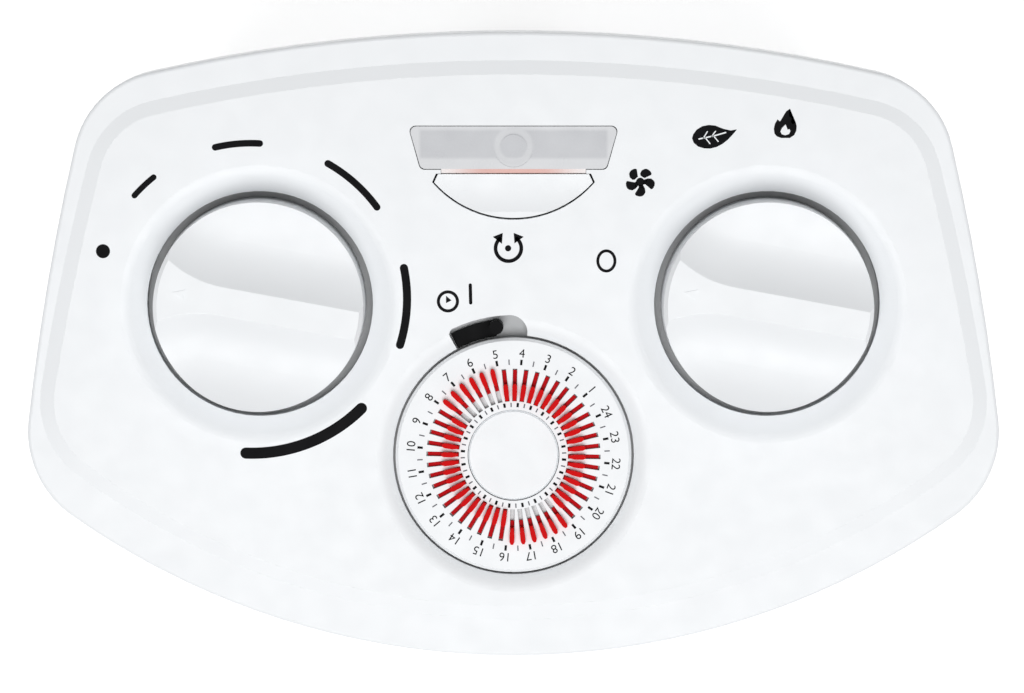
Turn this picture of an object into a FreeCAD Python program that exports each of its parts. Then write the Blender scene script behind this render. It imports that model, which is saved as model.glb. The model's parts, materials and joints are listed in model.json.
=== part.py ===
import FreeCAD, Part

import math
import os

import Sketcher

# Driving dimensions in millimetres and degrees; the sheet built from them drives every sub-part
DIMENSIONS = {
    # allowances: overrun of cutting tools, overlap of joined pieces, gaps of fitted pieces
    "tool_over": 5.0,
    "bond": 1.0,
    "fit_gap": 0.2,
    "close_fit": 0.1,
    # panel outline seen from above
    "panel_width": 250.0,
    "panel_depth": 161.0,
    "back_radius": 424.0,
    "back_corner": 25.0,
    "back_corner_x": 88.0,
    "side_radius": 620.0,
    "front_corner": 26.5,
    "front_radius": 196.0,
    # panel section
    "panel_height": 13.0,
    "panel_skin": 3.0,
    "panel_wall": 2.6,
    "panel_edge": 0.9,
    "rim_drop": 0.7,
    "rim_side": 3.3,
    "rim_back": 7.2,
    "rim_front": 9.6,
    "rim_slope": 3.6,
    # heights of the stack
    "foot_height": 4.0,
    "base_height": 27.0,
    "glide_height": 2.8,
    "housing_height": 258.0,
    # housing shells and floor
    "shell_wall": 2.5,
    "shell_top_inset": 0.6,
    "shell_bottom_inset": 12.0,
    "split_y": -24.0,
    "floor_thick": 3.0,
    "boss_x": 70.0,
    "boss_radius": 5.4,
    "boss_height": 16.0,
    "boss_roof": 4.0,
    # outlet window and grille
    "window_low": 58.0,
    "window_high": 206.0,
    "window_angle": 51.0,
    "grille_play": 0.16,
    "grille_thick": 2.6,
    "grille_recess": 1.6,
    "grille_flange": 6.0,
    "flange_angle": 3.6,
    "grille_border": 4.0,
    "grille_slot": 4.6,
    "grille_pitch": 7.0,
    "grille_rows": 20,
    "grille_columns": 3,
    "grille_rib": 4.0,
    "grille_reach": 77.0,
    # intake slots in the rear shell
    "intake_width": 4.0,
    "intake_pitch": 8.0,
    "intake_columns": 17,
    "intake_height": 36.0,
    "intake_row_pitch": 44.0,
    "intake_rows": 3,
    "intake_low": 72.0,
    # knobs and their wells
    "knob_x": 65.1,
    "knob_y": 10.7,
    "knob_radius": 27.2,
    "knob_top_radius": 26.8,
    "knob_crest": 10.6,
    "knob_skirt": 6.5,
    "knob_wall": 2.4,
    "knob_gap": 1.8,
    "knob_valley": 7.0,
    "knob_edge": 1.0,
    "knob_roof": 1.6,
    "grip_half": 3.65,
    "scoop_run": 12.0,
    "scoop_rim": 40.0,
    "grip_round": 0.4,
    "flare_start": 9.5,
    "flare_radius": 28.0,
    "flare_angle": 45.0,
    "thermostat_angle": 169.5,
    "selector_angle": 169.5,
    "well_depth": 8.0,
    "well_skin": 2.4,
    "well_wall": 2.0,
    "dish_radius": 34.6,
    "dish_depth": 2.3,
    "dish_soft": 1.2,
    # spindles and the units they turn
    "spindle_radius": 3.0,
    "spindle_tail": 10.0,
    "spindle_play": 0.4,
    "hub_radius": 6.0,
    "bush_radius": 4.6,
    "bush_rise": 1.6,
    "thermostat_half_width": 18.0,
    "thermostat_half_depth": 15.0,
    "thermostat_height": 19.0,
    "selector_case_radius": 19.0,
    "selector_height": 22.0,
    "tab_count": 3,
    "tab_pitch": 9.0,
    "tab_thick": 0.8,
    "tab_width": 6.3,
    "tab_length": 12.0,
    # timer dial and its movement
    "dial_setback": 52.2,
    "dial_radius": 30.35,
    "dial_gap": 0.65,
    "dial_sink": 0.4,
    "dial_thick": 3.2,
    "dial_bevel": 0.7,
    "dial_skin": 0.6,
    "dial_hole": 11.8,
    "dial_dish_radius": 33.4,
    "dial_dish_depth": 1.6,
    "dial_dish_soft": 2.0,
    "dial_well_depth": 4.6,
    "disc_sink": 0.4,
    "disc_bevel": 0.45,
    "disc_gap": 0.15,
    "dial_shaft": 4.0,
    "dial_shaft_length": 13.0,
    "slot_inner": 14.0,
    "slot_outer": 22.4,
    "channel_inner": 12.4,
    "channel_outer": 27.0,
    "slot_depth": 1.7,
    "slot_width": 1.2,
    "timer_radius": 31.0,
    "timer_height": 20.0,
    "timer_switch_half": 14.0,
    "timer_switch_near": 20.0,
    "timer_switch_far": 38.5,
    "timer_switch_drop": 4.0,
    "timer_switch_height": 14.0,
    # tappets
    "tappet_count": 48,
    "tappet_first": 28.95,
    "tappet_step": 7.5,
    "tappet_travel": 4.4,
    "tappet_width": 0.95,
    "tappet_end_gap": 0.2,
    "tappet_rise": 0.3,
    "stem_length": 3.4,
    "tail_length": 4.4,
    "tongue_length": 1.6,
    "tail_drop": 0.75,
    "bulb_width": 1.25,
    "bulb_length": 4.4,
    "bulb_height": 1.6,
    "bulb_low": 0.15,
    "bulb_taper": 1.5,
    "bulb_chamfer": 0.7,
    # mode lever beside the dial
    "recess_inner": 24.0,
    "recess_outer": 36.3,
    "recess_start": 83.5,
    "recess_end": 118.0,
    "recess_depth": 5.2,
    "recess_round": 1.6,
    "recess_sweep": 4.6,
    "lever_inner": 30.8,
    "lever_outer": 35.0,
    "lever_start": 98.0,
    "lever_end": 117.4,
    "lever_thick": 1.4,
    "lever_lift": 0.15,
    "nub_angle": 97.6,
    "nub_orbit": 33.4,
    "nub_radius": 1.8,
    "nub_height": 4.4,
    "stem_angle": 109.5,
    "lever_swing": 8.5,
    "stem_radius": 0.7,
    "stem_drop": 5.0,
    "stem_slot": 2.0,
    "stem_slot_lead": 2.4,
    # lamp lens, light strip, pilot lamp and push button
    "lens_setback": 24.1,
    "lens_depth": 10.9,
    "lens_back_half": 26.85,
    "lens_front_half": 23.7,
    "lens_round": 1.5,
    "lens_thick": 3.5,
    "lens_sink": 0.1,
    "lens_flange": 1.6,
    "lens_flange_thick": 1.2,
    "lens_ring": 5.0,
    "lens_ring_inner": 3.4,
    "lens_ring_depth": 0.2,
    "strip_half": 18.6,
    "strip_depth": 1.1,
    "strip_height": 6.7,
    "strip_sink": 0.3,
    "lamp_radius": 4.0,
    "lamp_length": 14.0,
    "lamp_foot_half": 9.0,
    "lamp_foot_low": 16.0,
    "lamp_foot_thick": 5.0,
    "button_half": 20.3,
    "button_sagitta": 11.2,
    "button_shoulder": 2.1,
    "button_clip": 1.0,
    "button_gap": 0.55,
    "button_rise": 0.5,
    "button_body": 9.0,
    "button_scoop": 40.0,
    "button_scoop_back": 4.0,
    "button_stem": 2.0,
    "button_stem_back": 6.5,
    "button_stem_drop": 7.0,
    "sleeve_wall": 1.8,
    "sleeve_depth": 14.0,
    "switch_plate_half": 23.0,
    "switch_plate_depth": 13.6,
    "switch_plate_thick": 2.0,
    "switch_half": 11.0,
    "switch_depth": 12.0,
    "switch_height": 15.0,
    "switch_bore": 2.6,
    "switch_bore_depth": 9.0,
    # base
    "base_radius": 69.0,
    "base_edge": 17.0,
    "crown_round": 10.0,
    "base_wall": 2.5,
    "gear_well": 46.5,
    "gear_well_depth": 15.0,
    "pivot_radius": 11.0,
    "pivot_bore": 7.0,
    "pivot_rise": 23.0,
    "pivot_clearance": 0.3,
    "hub_tube": 15.0,
    "hub_rise": 16.0,
    "glide_margin": 2.0,
    "glide_width": 8.5,
    "clip_thick": 1.6,
    "clip_outer": 15.0,
    "clip_groove": 1.6,
    "clip_gap_half": 7.0,
    "clip_gap_depth": 11.0,
    "plate_thick": 2.5,
    "foot_count": 4,
    "foot_radius": 9.0,
    "foot_chamfer": 1.2,
    "foot_inset": 13.0,
    "foot_turn": 45.0,
    "screw_count": 4,
    "screw_inset": 10.5,
    "screw_turn": 15.0,
    "screw_radius": 1.7,
    "screw_head": 3.3,
    "screw_head_height": 2.0,
    "screw_chamfer": 0.7,
    "housing_screw_length": 11.0,
    "base_screw_length": 12.0,
    "inlet_half": 13.0,
    "inlet_depth": 7.0,
    "inlet_low": 4.0,
    "inlet_height": 12.0,
    "gland_radius": 4.8,
    "gland_flange": 6.0,
    "gland_lip": 2.4,
    "gland_bore": 3.7,
    # oscillation drive and terminal block
    "gear_module": 1.25,
    "gear_teeth": 40,
    "pinion_teeth": 14,
    "pressure_angle": 20.0,
    "tooth_head": 0.95,
    "tooth_foot": 1.2,
    "gear_height": 8.0,
    "gear_backlash": 0.35,
    "pinion_lift": 1.0,
    "pinion_stalk": 3.5,
    "stalk_rise": 8.0,
    "stalk_play": 0.5,
    "swivel_motor_radius": 17.0,
    "swivel_motor_height": 20.0,
    "terminal_x": -60.0,
    "terminal_y": 18.0,
    "terminal_half": 20.0,
    "terminal_half_depth": 8.0,
    "terminal_height": 12.0,
    "terminal_ribs": 5,
    "terminal_rib_thick": 1.5,
    "terminal_rib_height": 5.0,
    # fan
    "fan_height": 132.0,
    "baffle_setback": 50.5,
    "baffle_thick": 3.0,
    "baffle_half": 92.0,
    "baffle_clear": 16.0,
    "duct_radius": 70.0,
    "duct_wall": 2.5,
    "duct_length": 38.0,
    "fan_radius": 65.5,
    "fan_hub": 22.0,
    "fan_depth": 26.0,
    "fan_nose": 5.0,
    "fan_behind": 7.0,
    "blade_count": 7,
    "blade_pitch": 32.0,
    "blade_thick": 2.0,
    "blade_root_chord": 34.0,
    "blade_tip_chord": 44.0,
    "blade_sink": 6.0,
    "motor_radius": 27.0,
    "motor_length": 40.0,
    "motor_grip": 4.0,
    "motor_ring": 3.0,
    "motor_ring_depth": 10.0,
    "motor_cap_radius": 9.0,
    "motor_cap_depth": 5.0,
    "shaft_radius": 2.5,
    "spider_half": 3.0,
    "spider_depth": 5.0,
    # heating element
    "frame_half": 84.0,
    "frame_height": 150.0,
    "frame_wall": 9.0,
    "frame_depth": 14.0,
    "element_inset": 2.0,
    "bar_count": 5,
    "bar_height": 6.0,
    "fin_pitch": 5.0,
    "fin_thick": 0.4,
    "cutout_half": 13.0,
    "cutout_foot": 1.5,
    "cutout_radius": 5.0,
    "cutout_height": 9.0,
}

document = FreeCAD.newDocument("bathroom_heater")
sheet = document.addObject("Spreadsheet::Sheet", "dims")
for row, (alias, number) in enumerate(DIMENSIONS.items(), start=1):
    sheet.set(f"A{row}", alias)
    sheet.set(f"B{row}", str(number))
    sheet.setAlias(f"B{row}", alias)
document.recompute()


# Sizes that keep their number and the sheet expression together
class Size:
    """A number with the expression that yields it from the sheet."""

    def __init__(self, number, text):
        self.number = float(number)
        self.text = text

    def __float__(self):
        return self.number

    def __int__(self):
        return round(self.number)

    def __add__(self, other):
        other = size(other)
        return Size(self.number + other.number, f"({self.text} + {other.text})")

    def __sub__(self, other):
        other = size(other)
        return Size(self.number - other.number, f"({self.text} - {other.text})")

    def __mul__(self, other):
        other = size(other)
        return Size(self.number * other.number, f"({self.text} * {other.text})")

    def __truediv__(self, other):
        other = size(other)
        return Size(self.number / other.number, f"({self.text} / {other.text})")

    def __radd__(self, other):
        return size(other) + self

    def __rsub__(self, other):
        return size(other) - self

    def __rmul__(self, other):
        return size(other) * self

    def __neg__(self):
        return size(0) - self


def size(amount):
    """The amount as a Size, whether it is a plain number or already one."""
    if isinstance(amount, Size):
        return amount
    if amount < 0:
        return Size(amount, f"(0 - {-amount})")
    return Size(amount, f"{amount}")


def root(amount):
    return Size(math.sqrt(amount.number), f"sqrt({amount.text})")


def least(first, second):
    return Size(min(first.number, second.number), f"min({first.text}; {second.text})")


def cosine(degrees):
    return Size(math.cos(math.radians(degrees.number)), f"cos({degrees.text})")


def sine(degrees):
    return Size(math.sin(math.radians(degrees.number)), f"sin({degrees.text})")


class Dimensions:
    """The sheet's cells, each read by its alias as a Size."""

    def __getattr__(self, alias):
        return Size(sheet.get(alias), f"dims.{alias}")


dim = Dimensions()


def bind(item, path, amount):
    """Ties one property of an object to the sheet."""
    item.setExpression(path, size(amount).text)


def move(item, x=0, y=0, z=0, turn=None):
    """Sets where an object stands: an optional rotation, then bound coordinates."""
    rotation = turn or FreeCAD.Rotation()
    item.Placement = FreeCAD.Placement(FreeCAD.Vector(float(x), float(y), float(z)), rotation)
    for axis, amount in zip("xyz", (x, y, z)):
        bind(item, f"Placement.Base.{axis}", amount)
    return item


def spin(degrees, axis=(0, 0, 1)):
    return FreeCAD.Rotation(FreeCAD.Vector(*axis), float(degrees))


ALONG_FRONT = spin(90, (1, 0, 0))
ALONG_BACK = spin(-90, (1, 0, 0))
ALONG_RIGHT = spin(90, (0, 1, 0))

# Levels of the stack
base_top = dim.foot_height + dim.base_height
housing_low = base_top + dim.glide_height + dim.fit_gap
housing_high = housing_low + dim.housing_height
panel_top = housing_high + dim.panel_height
rim_level = panel_top - dim.rim_drop
floor_level = housing_low + dim.floor_thick
fan_level = housing_low + dim.fan_height
front_centre_y = dim.front_radius - dim.panel_depth / 2


# Sketch helpers: every point and radius carries a constraint bound to the sheet
def fix_point(sketch, item, end, x, y):
    """Pins one end of a sketch element at bound coordinates."""
    for kind, amount in (("DistanceX", x), ("DistanceY", y)):
        rule = Sketcher.Constraint(kind, -1, 1, item, end, float(amount))
        bind(sketch, f"Constraints[{sketch.addConstraint(rule)}]", amount)


def fix_radius(sketch, item, radius):
    index = sketch.addConstraint(Sketcher.Constraint("Radius", item, float(radius)))
    bind(sketch, f"Constraints[{index}]", radius)


def arc_between(start, end, radius, turning):
    """An arc from start to end; turning is +1 anticlockwise, -1 clockwise."""
    first, last = (start, end) if turning > 0 else (end, start)
    chord = last - first
    lift = math.sqrt(max(radius * radius - chord.Length * chord.Length / 4, 0.0))
    across = FreeCAD.Vector(-chord.y, chord.x, 0)
    across.normalize()
    centre = (first + last) * 0.5 + across * lift
    circle = Part.Circle(centre, FreeCAD.Vector(0, 0, 1), radius)
    sweep = [math.atan2(point.y - centre.y, point.x - centre.x) for point in (first, last)]
    return Part.ArcOfCircle(circle, *sweep)


def draw_profile(sketch, corners):
    """A closed run through corners (x, y); (x, y, radius, turning) curves the run to the next corner."""
    points = [FreeCAD.Vector(float(corner[0]), float(corner[1]), 0) for corner in corners]
    first = sketch.GeometryCount
    ends = []
    for index, corner in enumerate(corners):
        start = points[index]
        finish = points[(index + 1) % len(points)]
        if len(corner) == 2:
            item = sketch.addGeometry(Part.LineSegment(start, finish))
            ends.append((item, 1, 2))
        else:
            item = sketch.addGeometry(arc_between(start, finish, float(corner[2]), corner[3]))
            ends.append((item, 1, 2) if corner[3] > 0 else (item, 2, 1))
    for index, (item, begin, stop) in enumerate(ends):
        following = ends[(index + 1) % len(ends)]
        sketch.addConstraint(Sketcher.Constraint("Coincident", item, stop, following[0], following[1]))
    for (item, begin, stop), corner in zip(ends, corners):
        fix_point(sketch, item, begin, size(corner[0]), size(corner[1]))
        if len(corner) > 2:
            fix_radius(sketch, item, size(corner[2]))
    return first


def draw_circle(sketch, x, y, radius):
    centre = FreeCAD.Vector(float(x), float(y), 0)
    item = sketch.addGeometry(Part.Circle(centre, FreeCAD.Vector(0, 0, 1), float(radius)))
    fix_point(sketch, item, 3, size(x), size(y))
    fix_radius(sketch, item, size(radius))


def draw_box(sketch, low_x, low_y, high_x, high_y):
    draw_profile(sketch, [(low_x, low_y), (high_x, low_y), (high_x, high_y), (low_x, high_y)])


def free_sketch(name, draw, *amounts):
    """A sketch that stands outside any body, in the horizontal plane until it is moved."""
    sketch = document.addObject("Sketcher::SketchObject", name)
    draw(sketch, *amounts)
    return sketch


# Body helpers
def new_body(label):
    body = document.addObject("PartDesign::Body", label)
    body.Label = label
    return body


def body_sketch(body, role, draw, *amounts, lift=None):
    """A sketch on one of the body's own origin planes, raised from it by lift."""
    sketch = body.newObject("Sketcher::SketchObject", f"{body.Name}_sketch")
    plane = [part for part in body.Origin.OriginFeatures if part.Role == role][0]
    sketch.AttachmentSupport = [(plane, "")]
    sketch.MapMode = "FlatFace"
    if lift is not None:
        bind(sketch, "AttachmentOffset.Base.z", lift)
    draw(sketch, *amounts)
    return sketch


def revolve(body, sketch, degrees=None, both=True):
    """Turns a sketch about its vertical axis: a full turn, or some degrees both ways or one way."""
    turned = body.newObject("PartDesign::Revolution", f"{body.Name}_turned")
    turned.Profile = sketch
    turned.ReferenceAxis = (sketch, ["V_Axis"])
    turned.Angle = 360
    if degrees is not None:
        turned.Midplane = both
        bind(turned, "Angle", degrees)
    return turned


def pad(body, sketch, length, down=False, both=False):
    grown = body.newObject("PartDesign::Pad", f"{body.Name}_pad")
    grown.Profile = sketch
    grown.Length = float(length)
    bind(grown, "Length", length)
    grown.Reversed = down
    grown.Midplane = both
    return grown


def pocket(body, sketch, length=None, up=False):
    """Cuts a sketch out of the body: both ways through everything, or a bound depth one way."""
    hollow = body.newObject("PartDesign::Pocket", f"{body.Name}_pocket")
    hollow.Profile = sketch
    if length is None:
        hollow.Type = 1
        hollow.Midplane = True
    else:
        hollow.Length = float(length)
        bind(hollow, "Length", length)
        hollow.Reversed = up
    return hollow


def ring_pattern(body, features, count):
    pattern = body.newObject("PartDesign::PolarPattern", f"{body.Name}_ring")
    pattern.Originals = features
    pattern.Axis = ([part for part in body.Origin.OriginFeatures if part.Role == "Z_Axis"][0], [""])
    pattern.Angle = 360
    bind(pattern, "Occurrences", count)
    body.Tip = pattern
    return pattern


def row_pattern(body, features, role, length, count):
    pattern = body.newObject("PartDesign::LinearPattern", f"{body.Name}_row")
    pattern.Originals = features
    pattern.Direction = ([part for part in body.Origin.OriginFeatures if part.Role == role][0], [""])
    bind(pattern, "Length", length)
    bind(pattern, "Occurrences", count)
    body.Tip = pattern
    return pattern


def turned_body(label, corners):
    """A body of revolution about its own vertical axis from (radius, height) corners."""
    body = new_body(label)
    revolve(body, body_sketch(body, "XZ_Plane", draw_profile, corners))
    return body


# Primitive and boolean helpers
def cylinder(name, radius, height, x=0, y=0, z=0, turn=None):
    item = document.addObject("Part::Cylinder", name)
    bind(item, "Radius", radius)
    bind(item, "Height", height)
    return move(item, x, y, z, turn)


def block(name, low, high):
    """A box between two opposite corners."""
    item = document.addObject("Part::Box", name)
    for side, near, far in zip(("Length", "Width", "Height"), low, high):
        bind(item, side, size(far) - near)
    return move(item, *low)


def fuse(name, *items):
    joined = document.addObject("Part::MultiFuse", name)
    joined.Shapes = list(items)
    joined.Refine = True
    return joined


def common(name, *items):
    kept = document.addObject("Part::MultiCommon", name)
    kept.Shapes = list(items)
    kept.Refine = True
    return kept


def cut(name, item, *tools):
    """Takes every tool away from the item; the last result carries the name."""
    for index, tool in enumerate(tools):
        last = index == len(tools) - 1
        result = document.addObject("Part::Cut", name if last else f"{name}_step{index}")
        result.Base = item
        result.Tool = tool
        result.Refine = True
        item = result
    return item


def group(name, items):
    """Several solids held as one sub-part."""
    bundle = document.addObject("Part::Compound", name)
    bundle.Links = list(items)
    return bundle


def copy_of(name, form, x=0, y=0, z=0, turn=None):
    """A placed copy of a form drawn at the origin."""
    return move(group(name, [form]), x, y, z, turn)


def extrude(name, sketch, height, z=0, y=0):
    """A free sketch grown upward from level z."""
    move(sketch, 0, y, z)
    solid = document.addObject("Part::Extrusion", name)
    solid.Base = sketch
    solid.DirMode = "Custom"
    solid.Dir = FreeCAD.Vector(0, 0, 1)
    bind(solid, "LengthFwd", height)
    solid.Solid = True
    return solid


def loft(name, low, high):
    solid = document.addObject("Part::Loft", name)
    solid.Sections = [low, high]
    solid.Solid = True
    solid.Ruled = True
    return solid


def freeform(name, shape, x=0, y=0, z=0, turn=None):
    """A shape worked out from the sheet's numbers where no sketch feature fits."""
    item = document.addObject("Part::Feature", name)
    item.Shape = shape
    return move(item, x, y, z, turn)


def around(count, orbit, start=0.0):
    """Points evenly spread on a circle about the origin."""
    for index in range(int(count)):
        angle = size(start + 360.0 * index / int(count))
        yield orbit * cosine(angle), orbit * sine(angle)


parts = {}


def keep(node, item):
    item.Label = node
    parts[node] = item
    return item


# Panel outline: eight arcs tangent end to end, inset from the edge by side, back and front amounts
def draw_outline(sketch, side, back, front):
    back_y = dim.panel_depth / 2 - back
    front_y = front - dim.panel_depth / 2
    back_r = dim.back_radius - back
    front_r = dim.front_radius - front
    side_r = dim.side_radius - side
    back_round = dim.back_corner - side
    front_round = dim.front_corner - side
    back_x = dim.back_corner_x
    front_x = dim.panel_width / 2 - dim.front_corner
    back_reach = back_r - back_round
    front_reach = front_r - front_round
    back_mid = FreeCAD.Vector(0, float(back_y - back_r), 0)
    front_mid = FreeCAD.Vector(0, float(front_y + front_r), 0)
    back_c = back_mid + FreeCAD.Vector(float(back_x), leg(back_reach, back_x), 0)
    front_c = front_mid + FreeCAD.Vector(float(front_x), -leg(front_reach, front_x), 0)
    side_c = arc_centre(back_c, front_c, float(side_r - back_round), float(side_r - front_round))
    turn_front = math.atan2(front_c.y - front_mid.y, front_c.x - front_mid.x)
    turn_low = math.atan2(front_c.y - side_c.y, front_c.x - side_c.x)
    turn_high = math.atan2(back_c.y - side_c.y, back_c.x - side_c.x)
    turn_back = math.atan2(back_c.y - back_mid.y, back_c.x - back_mid.x)
    half = math.pi
    runs = [
        (front_c, front_round, turn_front, turn_low),
        (side_c, side_r, turn_low, turn_high),
        (back_c, back_round, turn_high, turn_back),
        (back_mid, back_r, turn_back, half - turn_back),
        (mirrored(back_c), back_round, half - turn_back, half - turn_high),
        (mirrored(side_c), side_r, half - turn_high, half - turn_low),
        (mirrored(front_c), front_round, half - turn_low, half - turn_front),
        (front_mid, front_r, half - turn_front, 2 * half + turn_front),
    ]
    for centre, radius, begin, stop in runs:
        circle = Part.Circle(centre, FreeCAD.Vector(0, 0, 1), float(radius))
        sketch.addGeometry(Part.ArcOfCircle(circle, begin, stop))
    for index in range(len(runs)):
        following = (index + 1) % len(runs)
        sketch.addConstraint(Sketcher.Constraint("Tangent", index, 2, following, 1))
    for index, run in enumerate(runs):
        fix_radius(sketch, index, run[1])
    for index, x in ((0, front_x), (2, back_x), (4, -back_x), (6, -front_x)):
        rule = Sketcher.Constraint("DistanceX", -1, 1, index, 3, float(x))
        bind(sketch, f"Constraints[{sketch.addConstraint(rule)}]", x)
    for index, y in ((3, back_y - back_r), (7, front_y + front_r)):
        fix_point(sketch, index, 3, size(0), y)


def leg(hypotenuse, side):
    return math.sqrt(float(hypotenuse) ** 2 - float(side) ** 2)


def mirrored(point):
    return FreeCAD.Vector(-point.x, point.y, point.z)


def arc_centre(first, second, first_reach, second_reach):
    """The point at given distances from two points, on their left side."""
    line = second - first
    along = (first_reach**2 - second_reach**2 + line.Length**2) / (2 * line.Length)
    off = math.sqrt(first_reach**2 - along**2)
    line.normalize()
    across = FreeCAD.Vector(line.y, -line.x, 0)
    return first + line * along + across * off


def outline_at(name, level, inset):
    return move(free_sketch(name, draw_outline, inset, inset, inset), 0, 0, level)


def shell_inset(level):
    """How far the tapered housing lies inside the panel outline at a level."""
    share = (level - housing_low) / dim.housing_height
    return dim.shell_bottom_inset - (dim.shell_bottom_inset - dim.shell_top_inset) * share


def housing_loft(name, low, high, deeper):
    """A solid following the housing's taper between two levels."""
    sections = [outline_at(f"{name}_{tag}", level, shell_inset(level) + deeper)
                for tag, level in (("low", low), ("high", high))]
    return loft(name, *sections)


def round_edges(name, item, radius, wanted):
    """Rounds the edges of an item that pass the test."""
    document.recompute()
    chosen = [index for index, edge in enumerate(item.Shape.Edges, start=1) if wanted(edge)]
    rounded = document.addObject("Part::Fillet", name)
    rounded.Base = item
    rounded.Edges = [(index, float(radius), float(radius)) for index in chosen]
    return rounded


def level_edge(level):
    """A test for edges that lie wholly at one level."""
    def wanted(edge):
        box = edge.BoundBox
        return abs(box.ZMin - float(level)) < 1e-4 and abs(box.ZMax - float(level)) < 1e-4
    return wanted


def upright_edge(edge):
    box = edge.BoundBox
    return box.XLength < 1e-4 and box.YLength < 1e-4


def draw_sector(sketch, inner, outer, start, end):
    """A ring sector about the origin between two angles."""
    draw_profile(sketch, [
        (inner * cosine(start), inner * sine(start)),
        (outer * cosine(start), outer * sine(start), outer, 1),
        (outer * cosine(end), outer * sine(end)),
        (inner * cosine(end), inner * sine(end), inner, -1),
    ])


def draw_lens(sketch, grow, grow_front):
    back_half = dim.lens_back_half + grow
    front_half = dim.lens_front_half + grow
    draw_profile(sketch, [
        (-front_half, lens_front_y - grow_front),
        (front_half, lens_front_y - grow_front),
        (back_half, lens_back_y + grow),
        (-back_half, lens_back_y + grow),
    ])


def draw_moon(sketch, grow, lift):
    """The half-moon of the push button with clipped tips, grown outward; lift moves its straight edge."""
    half = dim.button_half + grow
    drop = dim.button_sagitta - dim.button_shoulder + grow
    shoulder = button_chord - dim.button_shoulder
    chord = button_chord + lift
    corner = half - dim.button_clip
    radius = (half * half + drop * drop) / (drop * 2)
    draw_profile(sketch, [(-half, shoulder, radius, 1), (half, shoulder), (corner, chord), (-corner, chord)])


# Control panel: a bowed cap with a raised field, cupped wells, a lever recess and openings
lens_back_y = dim.panel_depth / 2 - dim.lens_setback
lens_front_y = lens_back_y - dim.lens_depth
button_chord = lens_front_y - dim.strip_depth - dim.fit_gap
dial_y = dim.dial_setback - dim.panel_depth / 2
knob_well = dim.knob_radius + dim.knob_gap
dial_well = dim.dial_radius + dim.dial_gap
knob_floor = panel_top - dim.well_depth
dial_floor = panel_top - dim.dial_well_depth
knob_seat = knob_floor - dim.well_skin
dial_seat = dial_floor - dim.well_skin
skin_low = panel_top - dim.panel_skin
sleeve_end = panel_top - dim.sleeve_depth
knob_sides = (("left", -dim.knob_x), ("right", dim.knob_x))
nothing = size(0)


def well_tool(name, x, y, radius, dish, depth):
    """The hollow of one well: a soft lip, a conical dish and a straight cup."""
    dish_radius, dish_depth, soft = dish
    run = dish_radius - radius
    slant = root(run * run + dish_depth * dish_depth)
    sweep = soft * dish_depth / (slant - run)
    lip = dish_radius + soft
    corners = [
        (0, dim.tool_over),
        (lip, dim.tool_over),
        (lip, 0, sweep, 1),
        (dish_radius - soft * run / slant, -soft * dish_depth / slant),
        (radius, -dish_depth),
        (radius, -depth),
        (0, -depth),
    ]
    return move(turned_body(name, corners), x, y, panel_top)


def panel_solid():
    slab = extrude("panel_slab", free_sketch("panel_edge_line", draw_outline, nothing, nothing, nothing),
                   rim_level - housing_high, housing_high)
    cap = round_edges("panel_cap", slab, dim.panel_edge, level_edge(rim_level))
    insets = (dim.rim_side, dim.rim_back, dim.rim_front)
    foot_line = free_sketch("field_foot", draw_outline, *insets)
    crown_line = free_sketch("field_crown", draw_outline, *[inset + dim.rim_slope for inset in insets])
    field = loft("panel_field", move(foot_line, 0, 0, rim_level), move(crown_line, 0, 0, panel_top))
    inner_line = free_sketch("panel_inner", draw_outline, *[dim.panel_wall] * 3)
    hollow = extrude("panel_hollow", inner_line, skin_low - housing_high, housing_high)
    shell = cut("panel_shell", fuse("panel_raised", cap, field), hollow)
    cups = [cylinder(f"knob_cup_{tag}", knob_well + dim.well_wall, skin_low + dim.bond - knob_seat,
                     x, dim.knob_y, knob_seat) for tag, x in knob_sides]
    cups.append(cylinder("dial_cup", dim.recess_outer + dim.well_wall, skin_low + dim.bond - dial_seat,
                         0, dial_y, dial_seat))
    sleeve_line = free_sketch("sleeve_line", draw_moon, dim.button_gap + dim.sleeve_wall, dim.button_gap)
    cups.append(extrude("button_sleeve", sleeve_line, skin_low + dim.bond - sleeve_end, sleeve_end))
    return fuse("panel_solid", shell, *cups)


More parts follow.
